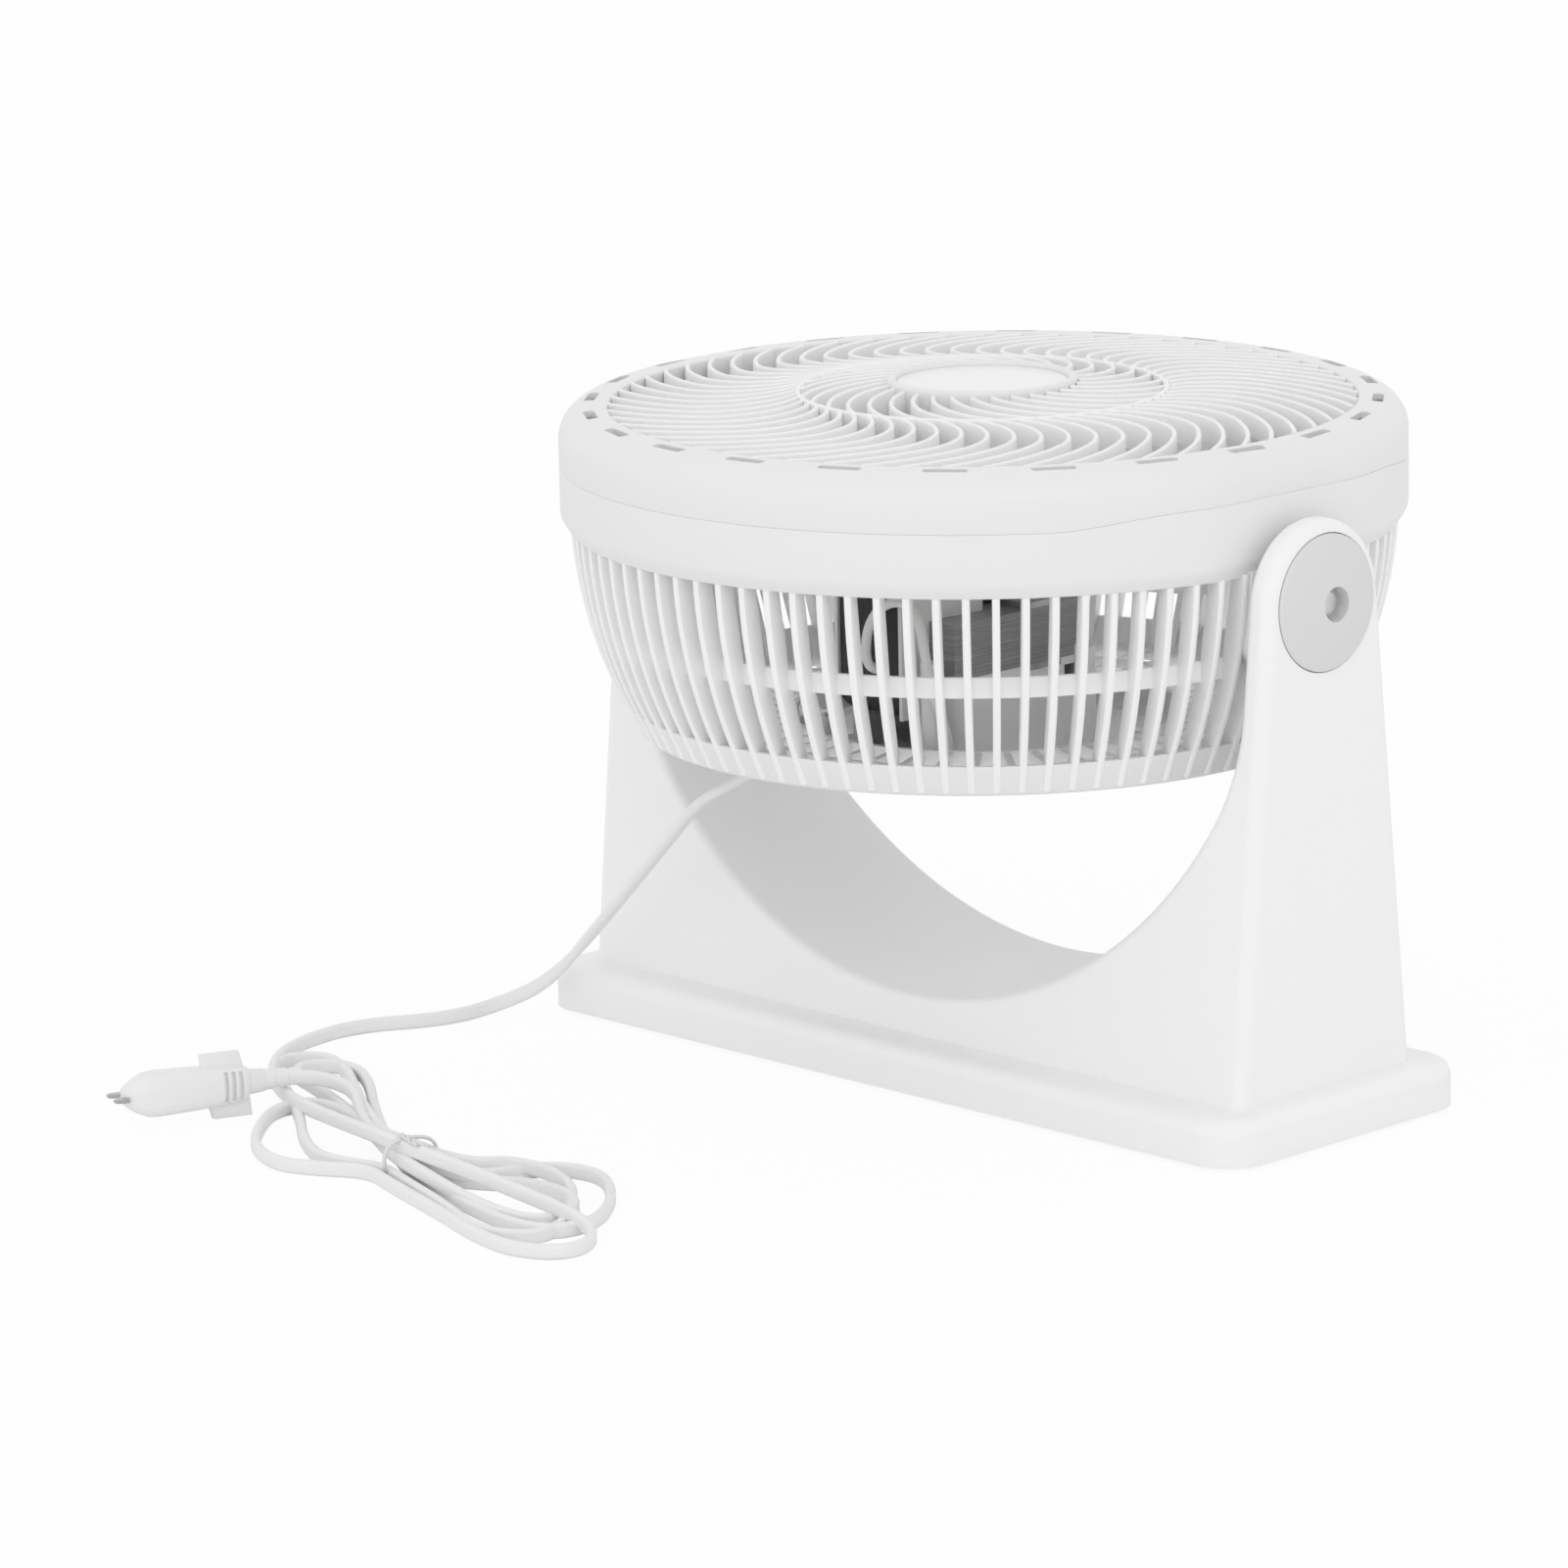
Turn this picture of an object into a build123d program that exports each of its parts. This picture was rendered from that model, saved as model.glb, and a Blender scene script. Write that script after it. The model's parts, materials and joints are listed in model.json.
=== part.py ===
from build123d import *
import math
import os

# Tilting air circulator fan: a round head with a spiral front grille, hung between the two arms
# of a one-piece U-shaped stand. Millimetres. Z is up, the tilt axis is parallel to X, and the
# head faces straight up. The flat twin cord lies where it was dropped, beside the stand.

# ---------------------------------------------------------------- stand
FOOT_HEIGHT = 1.5            # rubber pads lift the moulding off the table
BASE_LENGTH = 368.6          # foot of the stand, along X
BASE_WIDTH = 131.4           # foot of the stand, along Y
BASE_CORNER = 17.0
BASE_THICKNESS = 17.5
BASE_EDGE_ROUND = 6.0
STAND_WALL = 2.8
ARM_OUTER_X = 172.4          # outer face of each arm
ARM_INNER_X = 161.0          # inner face of each arm at the pivot
ARM_TOP_RADIUS = 30.5
ARM_FOOT_DEPTH = 99.0        # depth of the upright at the foot, along Y
ARM_OUTER_ROUND = 5.5
ARM_INNER_ROUND = 3.5
TILT_AXIS_HEIGHT = 198.9 + FOOT_HEIGHT
SADDLE_RADIUS = 172.6        # the trough that the head swings in
SADDLE_CENTRE_HEIGHT = 204.9 + FOOT_HEIGHT
SADDLE_BLEND_RADIUS = 90.0   # eases the trough into the upright inner faces
ARM_CAVITY_TOP = 160.0
FOOT_PAD_RADIUS = 8.0
FOOT_PAD_X, FOOT_PAD_Y = 166.0, 48.0
COVER_THICKNESS = 2.2
COVER_SCREW_X = (-140.0, 0.0, 140.0)
COVER_SCREW_Y = 56.0
BUSH_RADIUS, BUSH_BORE = 4.0, 1.6

# ---------------------------------------------------------------- tilt pivot
CAP_RADIUS = 25.4
CAP_RIM_X = 173.4
CAP_CENTRE_X = 177.9
CAP_BACK_X = 168.9
CAP_HOLE_RADIUS = 6.5
CAP_FLOOR_X = 171.2
CAP_GAP = 0.4
PIVOT_RADIUS = 9.0
PIVOT_GAP = 0.08
PIVOT_END_X = CAP_BACK_X
PIVOT_SHOULDER_RADIUS = 15.0
PIVOT_SHOULDER_X = 159.4
WASHER_THICKNESS = 1.4
PIVOT_SCREW_RADIUS = 2.0
PIVOT_SCREW_HEAD_RADIUS = 3.9

# ---------------------------------------------------------------- head, heights from the tilt axis
HEAD_RADIUS = 160.0
FLAT_X = 155.2               # the head is flattened beside the arms
HEAD_WALL = 2.4
PARTING_H = 34.5             # joint between front ring and rear shell
PARTING_GAP = 0.6
FRONT_H = 56.1               # flat front face of the ring
FRONT_OPENING_RADIUS = 141.2
SHOULDER_RADIUS = 12.0
LIP_DEPTH = 9.5
SPIGOT_DEPTH = 7.0
SLOT_COUNT = 24
SLOT_RADIUS = 148.6
SLOT_LENGTH, SLOT_WIDTH = 13.0, 3.2
SLOT_PHASE = 9.0

# spiral grille
OUTER_VANES = 60
INNER_VANES = 30
VANE_THICKNESS = 1.8
VANE_BOTTOM_H = 49.0
MID_RING_RADIUS = 69.5
MID_RING_H = 60.1
MID_RING_WALL = 2.0
HUB_RADIUS = 36.0
HUB_H = 64.4
HUB_VANE_H = 62.6
HUB_RIM_WALL = 3.6
BADGE_H = 62.4               # bare disc let into the hub
BADGE_THICKNESS = 1.6
# plan of an outer vane: a tight arc off the mid ring, then a wide one out to the ring
OUTER_ARC_CENTRE = Vector(94.61, -13.24)
OUTER_ARC_RADIUS = 28.4
OUTER_TAIL_CENTRE = Vector(62.36, -58.48)
OUTER_TAIL_RADIUS = OUTER_ARC_RADIUS + (OUTER_ARC_CENTRE - OUTER_TAIL_CENTRE).length
# plan of an inner vane: one arc from hub to mid ring
INNER_ARC_CENTRE = Vector(22.52, 31.81)
INNER_ARC_RADIUS = 36.87
OUTER_ARC_CHORDS, OUTER_TAIL_CHORDS, INNER_CHORDS = 5, 2, 4

# rear shell
BAND_BOTTOM_H = 10.3
BAND_BOTTOM_RADIUS = 156.3
BAND_CHAMFER_H = 15.5
RIB_COUNT = 90
RIB_THICKNESS = 2.4
RIB_PHASE = -0.3
RIB_STEP = 1.0                # how far the ribs stand proud of the rim
RIB_TOP, RIB_MIDDLE, RIB_LOW, RIB_TOE = (156.2, 11.5), (150.0, -26.0), (138.4, -55.5), (133.2, -66.2)
BACK_H = -68.3
BACK_EDGE_RADIUS = 127.0
RIM_TOP_H = -55.5
SUPPORT_RING_RADIUS = 136.4
SUPPORT_RING_H = -22.8
SUPPORT_RING_HEIGHT = 7.6
BACK_THICKNESS = 2.6
BACK_RING_RADIUS = 100.0
HOUSING_RADIUS = 76.0        # raised round housing in the middle of the back
HOUSING_H = -79.5
HOUSING_FLOOR_H = HOUSING_H + HEAD_WALL
PAD_HALF_WIDTH = 21.0        # pivot pads in the cage, under the flats
PAD_THICKNESS = 6.0
PAD_BOTTOM_H = -24.0

# motor, hung low in the rear shell
STACK_WIDTH = 61.0
STACK_BACK_Y, STACK_FRONT_Y = -48.0, 24.0
STACK_TOP_H, STACK_BOTTOM_H = -20.3, -41.6
STACK_ARM = 12.5
STACK_WINDOW_BACK_Y, STACK_WINDOW_FRONT_Y = -34.0, -18.0
BORE_RADIUS = 14.0
ROTOR_RADIUS = 13.6
SHAFT_RADIUS = 4.0
SHAFT_TOP_H, SHAFT_BOTTOM_H = 33.0, -51.8
COIL_HALF_WIDTH = 17.6
COIL_BACK_Y, COIL_FRONT_Y = -63.0, -19.5
COIL_TOP_H, COIL_BOTTOM_H = -6.0, -56.0
BOBBIN_FLANGE = 1.6
BRACKET_SCREW_X = 24.0
BRACKET_SHEET = 2.4
BRACKET_WIDTH = 18.0
MOTOR_SCREW_RADIUS = 1.9
BEARING_CUP_RADIUS = 11.0
BEARING_CUP_DEPTH = 11.5
BEARING_RADIUS = 8.0
BEARING_BORE = SHAFT_RADIUS + 0.05
BEARING_LENGTH = 8.0
MOUNT_BASE_RADIUS = 68.0
MOUNT_BASE_THICKNESS = 2.0
MOUNT_WALL = 2.5
POST_RADIUS = 4.0
POST_A, POST_A_TOP_H = (27.0, -57.0), -33.0
POST_B, POST_B_TOP_H = (46.0, 6.0), -34.0
MOUNT_SCREWS = ((41.0, 41.0), (-41.0, 41.0), (-41.0, -35.0), (48.0, -30.0))
CLAMP_SCREWS = ((-43.0, -53.0), (-26.5, -60.5))
CLAMP_H = -63.0              # top of the posts that the cord clamp bridges

# fan blade
BLADE_COUNT = 5
BLADE_TIP_RADIUS = 130.0
BLADE_HUB_RADIUS = 30.0
BLADE_HUB_TOP_H, BLADE_HUB_BOTTOM_H = 29.0, -2.0
BLADE_MID_H = 16.0
BLADE_THICKNESS = 2.2
BLADE_NUT_RADIUS = 11.0
# radius, chord, pitch and sideways skew of each section of a blade
BLADE_SECTIONS = ((26.0, 38.0, 40.0, 0.0), (80.0, 72.0, 29.0, 8.0), (134.0, 84.0, 22.0, 24.0))

# speed switch and its knob, in the middle of the back
SWITCH_SIZE, SWITCH_DEPTH = 26.0, 15.0
KNOB_RADIUS = 15.0
KNOB_H = -93.0
KNOB_STEM_RADIUS = 3.0
KNOB_GAP = 0.05
KNOB_COLLAR_RADIUS = 5.0

# flat twin cord, from the grip under the head to the tied hank and on to the plug
CORD_WIDTH = 5.4
GRIP_START = Vector(-51.8, -51.8, TILT_AXIS_HEIGHT - 76.6)
GRIP_END = Vector(-63.8, -63.8, TILT_AXIS_HEIGHT - 87.4)
GRIP_AXIS = (GRIP_END - GRIP_START).normalized()
GRIP_RADIUS, GRIP_TIP_RADIUS = 5.0, 3.4
CORD_REST = CORD_WIDTH / 2   # height of the cord's middle where it lies on the table
CORD_ROUTE = [
    GRIP_END, GRIP_END + GRIP_AXIS * 11, (-84.5, -71.0, 100.0), (-106.0, -70.5, 78.5), (-142.0, -71.5, 42.0),
    (-170.0, -73.5, 14.0), (-190.5, -86.0, CORD_REST), (-191.0, -112.0, CORD_REST), (-209.0, -140.0, CORD_REST),
    (-207.0, -170.0, CORD_REST), (-186.0, -200.0, CORD_REST),
]
SWING_RADIUS = 165.5         # everything that tilts with the head stays inside this ball
HANK_OUTLINE = [
    (-188, -194), (-163, -184), (-134, -200), (-76, -240), (-40, -250), (-8, -229), (36, -234),
    (72, -272), (84, -297), (60, -310), (10, -296), (-34, -280), (-66, -294), (-110, -280), (-130, -243),
]
HANK_HEIGHT = 10.5
TIE_PLACE, TIE_SIZE, TIE_TURN = (-37.0, -265.0), (3.4, 38.0, 12.0), -22.0
PLUG_NOSE, PLUG_TAIL = Vector(-168.7, -291.7, 12.5), Vector(-148.5, -240.0, 12.5)
PLUG_AXIS = (PLUG_TAIL - PLUG_NOSE).normalized()
CORD_TAIL = [PLUG_TAIL, PLUG_TAIL + PLUG_AXIS * 17, (-122.0, -216.0, 6.0)]
PLUG_HEIGHT, PLUG_WIDTH = 17.0, 15.0
PLUG_WING = (14.0, 25.0, 3.6)
PIN_SIZE, PIN_SPACING = (7.0, 4.8, 2.0), 8.4

UPRIGHT = (Align.CENTER, Align.CENTER, Align.MIN)
TILT_AXIS = Pos(0, 0, TILT_AXIS_HEIGHT)
BIG = 500.0


# ---------------------------------------------------------------- small helpers
def disc(radius, low, high, at=(0, 0)):
    """An upright cylinder between two heights."""
    return Pos(at[0], at[1], low) * Cylinder(radius, high - low, align=UPRIGHT)


def tube(outer, inner, low, high, at=(0, 0)):
    """An upright tube between two heights."""
    return disc(outer, low, high, at) - disc(inner, low, high, at)


def block(x, y, z):
    """A box from three (low, high) pairs."""
    centre = Pos((x[0] + x[1]) / 2, (y[0] + y[1]) / 2, (z[0] + z[1]) / 2)
    return centre * Box(x[1] - x[0], y[1] - y[0], z[1] - z[0])


def turned(*points):
    """A closed outline of (radius, height) points, turned about the Z axis."""
    return revolve(Plane.XZ * make_face(Polyline(*points, close=True)), Axis.Z)


def turned_edges(edges):
    """An outline of joined edges in (radius, height), turned about the Z axis."""
    return revolve(Plane.XZ * make_face(edges), Axis.Z)


def around(count, phase=0.0):
    """Turns about the Z axis for a ring of like features."""
    return [Rot(Z=phase + 360.0 * index / count) for index in range(count)]


def between_flats(half_width):
    """The slab of space between the two side flats of the head."""
    return Box(2 * half_width, BIG, BIG)


def below_the_shoulder():
    """The space between the side flats, rounded above so that the shoulder follows the flats."""
    slab = block((-FLAT_X, FLAT_X), (-BIG / 2, BIG / 2), (-BIG / 2, FRONT_H))
    return fillet(slab.edges().filter_by(Axis.Y).group_by(Axis.Z)[-1], FLAT_X - HEAD_RADIUS + SHOULDER_RADIUS)


def on_both_arms(piece):
    """A piece of the +X arm with its mirror image on the -X arm."""
    return Compound(children=[piece, mirror(piece, Plane.YZ)])


def about_tilt_axis(piece):
    """Turn a piece made upright so that its +Z points along +X, at the tilt axis."""
    return TILT_AXIS * Rot(Y=90) * piece


# ---------------------------------------------------------------- stand
def side_view(foot_depth, top_radius):
    """The arms seen along X: straight flanks that run into a round top about the tilt axis."""
    foot_y, drop = foot_depth / 2, TILT_AXIS_HEIGHT - FOOT_HEIGHT
    tangent = math.atan2(-drop, foot_y) + math.acos(top_radius / math.hypot(foot_y, drop))
    touch_y = top_radius * math.cos(tangent)
    touch_z = TILT_AXIS_HEIGHT + top_radius * math.sin(tangent)
    flanks = Polyline((-touch_y, touch_z), (-foot_y, FOOT_HEIGHT), (foot_y, FOOT_HEIGHT), (touch_y, touch_z))
    top = ThreePointArc((touch_y, touch_z), (0, TILT_AXIS_HEIGHT + top_radius), (-touch_y, touch_z))
    return Plane.YZ * make_face([flanks, top])


def trough(grow=0.0):
    """The gap between the arms: a round saddle eased into upright walls, as a bar along Y."""
    saddle = Vector(0, SADDLE_CENTRE_HEIGHT)
    blend_x = ARM_INNER_X - SADDLE_BLEND_RADIUS
    blend_drop = math.sqrt((SADDLE_RADIUS - SADDLE_BLEND_RADIUS) ** 2 - blend_x**2)
    blend = saddle + Vector(blend_x, -blend_drop)
    wall_x, top_z = ARM_INNER_X + grow, TILT_AXIS_HEIGHT + 2 * ARM_TOP_RADIUS
    swing = math.atan2(-blend_drop, blend_x)
    radius = SADDLE_BLEND_RADIUS + grow
    halfway = blend + Vector(math.cos(swing / 2), math.sin(swing / 2)) * radius
    joint = blend + Vector(math.cos(swing), math.sin(swing)) * radius
    outline = [
        Line((wall_x, top_z), (wall_x, blend.Y)),
        ThreePointArc((wall_x, blend.Y), halfway, joint),
        ThreePointArc(joint, (0, saddle.Y - SADDLE_RADIUS - grow), (-joint.X, joint.Y)),
        ThreePointArc((-joint.X, joint.Y), (-halfway.X, halfway.Y), (-wall_x, blend.Y)),
        Line((-wall_x, blend.Y), (-wall_x, top_z)),
        Line((-wall_x, top_z), (wall_x, top_z)),
    ]
    return extrude(Plane.XZ * make_face(outline), BASE_WIDTH, both=True)


def uprights():
    """Both arms and the saddle between them, with soft edges."""
    arms = extrude(side_view(ARM_FOOT_DEPTH, ARM_TOP_RADIUS), ARM_OUTER_X, both=True) - trough()
    outer_faces = arms.faces().filter_by(Axis.X).filter_by(lambda f: abs(f.center().X) > ARM_OUTER_X - 1)
    outer_edges = outer_faces.edges().filter_by(lambda e: e.center().Z > FOOT_HEIGHT + 1)
    arms = fillet(outer_edges, ARM_OUTER_ROUND)
    inner_edges = arms.edges().filter_by(is_trough_edge)
    return fillet(inner_edges, ARM_INNER_ROUND)


def is_trough_edge(edge):
    """True for an edge where the gap between the arms meets their front, back and top."""
    centre = edge.center()
    along_y = edge.geom_type == GeomType.LINE and abs(edge.tangent_at(0.5).Y) > 0.99
    return abs(centre.X) < ARM_INNER_X + 1 and centre.Z > SADDLE_CENTRE_HEIGHT - SADDLE_RADIUS - 1 and not along_y


def stand_cavity():
    """The open inside of the stand moulding, one wall thickness in from every face."""
    inner_depth = ARM_FOOT_DEPTH - 2 * STAND_WALL
    arms = extrude(side_view(inner_depth, ARM_TOP_RADIUS - STAND_WALL), ARM_OUTER_X - STAND_WALL, both=True)
    arms = arms - trough(STAND_WALL)
    arms = arms - block((-BIG, BIG), (-BIG, BIG), (ARM_CAVITY_TOP, BIG))
    plan = RectangleRounded(BASE_LENGTH - 2 * STAND_WALL, BASE_WIDTH - 2 * STAND_WALL, BASE_CORNER - STAND_WALL)
    return arms + Pos(Z=FOOT_HEIGHT) * extrude(plan, BASE_THICKNESS - STAND_WALL)


def cover_screw_places():
    """Where the bottom cover is screwed on."""
    return [(x, y) for x in COVER_SCREW_X for y in (-COVER_SCREW_Y, COVER_SCREW_Y)]


def stand_shell():
    """The one-piece stand moulding, open underneath."""
    foot = Pos(Z=FOOT_HEIGHT) * extrude(RectangleRounded(BASE_LENGTH, BASE_WIDTH, BASE_CORNER), BASE_THICKNESS)
    foot = fillet(foot.edges().group_by(Axis.Z)[-1], BASE_EDGE_ROUND)
    shell = foot + uprights() - stand_cavity()
    bore = disc(PIVOT_RADIUS + PIVOT_GAP, ARM_INNER_X - 1, ARM_OUTER_X + 1)
    recess = disc(CAP_RADIUS + CAP_GAP, CAP_BACK_X - CAP_GAP, ARM_OUTER_X + 1)
    seat = about_tilt_axis(bore + recess)
    return shell - [seat, mirror(seat, Plane.YZ)]


def base_cover():
    """The flat plate that closes the underside of the stand."""
    play = 2 * STAND_WALL + 0.6
    plan = RectangleRounded(BASE_LENGTH - play, BASE_WIDTH - play, BASE_CORNER - STAND_WALL - 0.3)
    plate = Pos(Z=FOOT_HEIGHT) * extrude(plan, COVER_THICKNESS)
    for at in cover_screw_places():
        plate -= disc(1.8, 0, FOOT_HEIGHT + COVER_THICKNESS, at) + disc(3.8, 0, FOOT_HEIGHT + 1.2, at)
    return plate


def cover_bushes():
    """The bushes under the top of the foot that the cover screws bite into."""
    low, high = FOOT_HEIGHT + COVER_THICKNESS, FOOT_HEIGHT + BASE_THICKNESS - STAND_WALL
    return Compound(children=[tube(BUSH_RADIUS, BUSH_BORE, low, high, at) for at in cover_screw_places()])


def base_screws():
    """The screws of the bottom cover, heads sunk into the plate."""
    head, reach = FOOT_HEIGHT + 1.2, FOOT_HEIGHT + COVER_THICKNESS + 8
    return Compound(children=[
        disc(3.6, FOOT_HEIGHT + 0.1, head, at) + disc(BUSH_BORE - 0.05, head, reach, at)
        for at in cover_screw_places()
    ])


def rubber_feet():
    """Four round pads stuck under the cover."""
    pads = [disc(FOOT_PAD_RADIUS, 0, FOOT_HEIGHT, (x, y))
            for x in (-FOOT_PAD_X, FOOT_PAD_X) for y in (-FOOT_PAD_Y, FOOT_PAD_Y)]
    return Compound(children=[fillet(pad.edges().group_by(Axis.Z)[0], 0.5) for pad in pads])


# ---------------------------------------------------------------- front of the head
def ring_skin():
    """The outside of the front ring as a filled, rounded drum with side flats."""
    corner_r, corner_h = HEAD_RADIUS - SHOULDER_RADIUS, FRONT_H - SHOULDER_RADIUS
    diagonal = SHOULDER_RADIUS * math.sqrt(0.5)
    groove = PARTING_GAP / 2
    side = Polyline((0, FRONT_H), (0, PARTING_H), (HEAD_RADIUS - groove, PARTING_H),
                    (HEAD_RADIUS, PARTING_H + groove), (HEAD_RADIUS, corner_h))
    shoulder = ThreePointArc((HEAD_RADIUS, corner_h), (corner_r + diagonal, corner_h + diagonal), (corner_r, FRONT_H))
    drum = turned_edges([side, shoulder, Line((corner_r, FRONT_H), (0, FRONT_H))])
    return drum & below_the_shoulder()


def front_ring():
    """The front ring: outer wall, rounded shoulder, opening lip, slots and the spigot below."""
    inner = HEAD_RADIUS - HEAD_WALL
    hollow = turned((0, PARTING_H - 1), (inner, PARTING_H - 1), (inner, FRONT_H - 10.0),
                    (FRONT_OPENING_RADIUS + 9.0, FRONT_H - HEAD_WALL), (0, FRONT_H - HEAD_WALL))
    ring = ring_skin() - (hollow & between_flats(FLAT_X - HEAD_WALL))
    ring += tube(FRONT_OPENING_RADIUS + HEAD_WALL, FRONT_OPENING_RADIUS, FRONT_H - LIP_DEPTH, FRONT_H - 1)
    ring -= disc(FRONT_OPENING_RADIUS, 0, BIG)
    spigot = disc(inner - 0.2, PARTING_H - SPIGOT_DEPTH, PARTING_H) & between_flats(FLAT_X - HEAD_WALL - 0.2)
    spigot += disc(inner + 0.2, PARTING_H, PARTING_H + 3) & between_flats(FLAT_X - HEAD_WALL + 0.2)
    spigot -= disc(inner - 2.2, 0, BIG) & between_flats(FLAT_X - HEAD_WALL - 2.2)
    slit = chamfer(Rectangle(SLOT_WIDTH, SLOT_LENGTH).vertices(), SLOT_WIDTH * 0.3)
    slot = Pos(SLOT_RADIUS, 0, FRONT_H - HEAD_WALL - 4) * extrude(slit, 2 * HEAD_WALL + 6)
    return ring + spigot - [turn * slot for turn in around(SLOT_COUNT, SLOT_PHASE)]


def reach_direction(centre, radius, reach, side):
    """Direction from an arc's centre, in radians, to its point that is `reach` from the Z axis."""
    span = centre.length
    turn = math.acos((reach**2 - span**2 - radius**2) / (2 * span * radius))
    return math.atan2(centre.Y, centre.X) + side * turn


def arc_steps(centre, radius, start, end, count):
    """Points along an arc in plan: `count` chords from one direction to another."""
    turns = [start + (end - start) * step / count for step in range(count + 1)]
    return [centre + Vector(math.cos(turn), math.sin(turn)) * radius for turn in turns]


def vane(arcs, inner_h, outer_h):
    """An upright fin along a chain of (centre, radius, start, end, count) arcs, its top sloping from one end to the other."""
    def side(offset):
        points = [point for centre, radius, *arc in arcs for point in arc_steps(centre, radius + offset, *arc)]
        return [point for index, point in enumerate(points) if index == 0 or (point - points[index - 1]).length > 0.01]

    left, right = side(VANE_THICKNESS / 2), side(-VANE_THICKNESS / 2)
    fin = Pos(Z=VANE_BOTTOM_H) * extrude(make_face(Polyline(*left, *reversed(right), close=True)), HUB_H - VANE_BOTTOM_H)
    start, end = left[0] + Vector(0, 0, inner_h), left[-1] + Vector(0, 0, outer_h)
    slope = end - start
    return split(fin, Plane(start, x_dir=slope, z_dir=slope.cross(Vector(-slope.Y, slope.X, 0))), keep=Keep.BOTTOM)


def outer_vane():
    """One S-shaped vane between the middle ring and the front ring."""
    across = OUTER_ARC_CENTRE - OUTER_TAIL_CENTRE
    turn_over = math.atan2(across.Y, across.X)
    start = reach_direction(OUTER_ARC_CENTRE, OUTER_ARC_RADIUS, MID_RING_RADIUS, 1)
    end = reach_direction(OUTER_TAIL_CENTRE, OUTER_TAIL_RADIUS, FRONT_OPENING_RADIUS + 1, 1)
    arcs = [(OUTER_ARC_CENTRE, OUTER_ARC_RADIUS, start, turn_over, OUTER_ARC_CHORDS),
            (OUTER_TAIL_CENTRE, OUTER_TAIL_RADIUS, turn_over, end, OUTER_TAIL_CHORDS)]
    return vane(arcs, MID_RING_H, FRONT_H)


def inner_vane():
    """One curved vane between the hub and the middle ring."""
    start = reach_direction(INNER_ARC_CENTRE, INNER_ARC_RADIUS, HUB_RADIUS - 1, -1)
    end = reach_direction(INNER_ARC_CENTRE, INNER_ARC_RADIUS, MID_RING_RADIUS, -1)
    return vane([(INNER_ARC_CENTRE, INNER_ARC_RADIUS, start, end, INNER_CHORDS)], HUB_VANE_H, MID_RING_H)


def grille_hub():
    """The middle of the grille: a raised rim round a flat seat for the badge disc."""
    seat, inside = BADGE_H - BADGE_THICKNESS, HUB_RADIUS - HUB_RIM_WALL
    return turned((0, seat), (inside, seat), (inside, HUB_H - 0.9), (inside + 0.9, HUB_H), (HUB_RADIUS - 1.2, HUB_H),
                  (HUB_RADIUS, HUB_H - 1.2), (HUB_RADIUS, VANE_BOTTOM_H), (HUB_RADIUS - HEAD_WALL, VANE_BOTTOM_H),
                  (HUB_RADIUS - HEAD_WALL, seat - HEAD_WALL), (0, seat - HEAD_WALL))


def front_grille():
    """The front moulding: ring, spiral vanes, middle ring and hub in one piece."""
    half = MID_RING_WALL / 2
    middle = tube(MID_RING_RADIUS + half, MID_RING_RADIUS - half, VANE_BOTTOM_H, MID_RING_H)
    outer, inner = outer_vane(), inner_vane()
    vanes = [turn * outer for turn in around(OUTER_VANES)] + [turn * inner for turn in around(INNER_VANES)]
    return front_ring() + [middle, grille_hub(), *vanes]


def hub_badge():
    """The plain disc let into the hub of the grille."""
    return disc(HUB_RADIUS - HUB_RIM_WALL - 0.15, BADGE_H - BADGE_THICKNESS, BADGE_H)


# ---------------------------------------------------------------- rear of the head
def shell_band():
    """The upper wall of the rear shell, with its chamfered lower edge and the side flats."""
    groove = PARTING_GAP / 2
    outside = turned((0, PARTING_H), (HEAD_RADIUS - groove, PARTING_H), (HEAD_RADIUS, PARTING_H - groove),
                     (HEAD_RADIUS, BAND_CHAMFER_H), (BAND_BOTTOM_RADIUS, BAND_BOTTOM_H), (0, BAND_BOTTOM_H))
    inner = HEAD_RADIUS - HEAD_WALL
    inside = turned((0, PARTING_H + 1), (inner, PARTING_H + 1), (inner, BAND_CHAMFER_H + 1.4),
                    (BAND_BOTTOM_RADIUS - HEAD_WALL, BAND_BOTTOM_H + 1.4),
                    (BAND_BOTTOM_RADIUS - HEAD_WALL, BAND_BOTTOM_H - 1), (0, BAND_BOTTOM_H - 1))
    return (outside & between_flats(FLAT_X)) - (inside & between_flats(FLAT_X - HEAD_WALL))


def rib():
    """One rib of the cage: a flat fin in a radial plane, bowed outside and straight inside."""
    bow = ThreePointArc(RIB_TOP, RIB_MIDDLE, RIB_LOW)
    toe = Polyline(RIB_LOW, RIB_TOE, (RIB_TOE[0] - 4.0, RIB_TOE[1]), (SUPPORT_RING_RADIUS - 11.0, RIM_TOP_H),
                   (SUPPORT_RING_RADIUS - 0.4, SUPPORT_RING_H), (RIB_TOP[0] - 11.5, RIB_TOP[1]), RIB_TOP)
    return extrude(Plane.XZ * make_face([bow, toe]), RIB_THICKNESS / 2, both=True)


def cage_rim():
    """The solid rim that closes the lower ends of the ribs, set back from their faces."""
    return turned((RIB_LOW[0] - RIB_STEP, RIM_TOP_H), (RIB_TOE[0] - RIB_STEP, RIB_TOE[1]), (BACK_EDGE_RADIUS, BACK_H),
                  (BACK_EDGE_RADIUS - 6, BACK_H), (BACK_EDGE_RADIUS - 6, BACK_H + BACK_THICKNESS),
                  (BACK_EDGE_RADIUS + 1, BACK_H + BACK_THICKNESS), (RIB_LOW[0] - 3.0, RIM_TOP_H))


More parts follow.
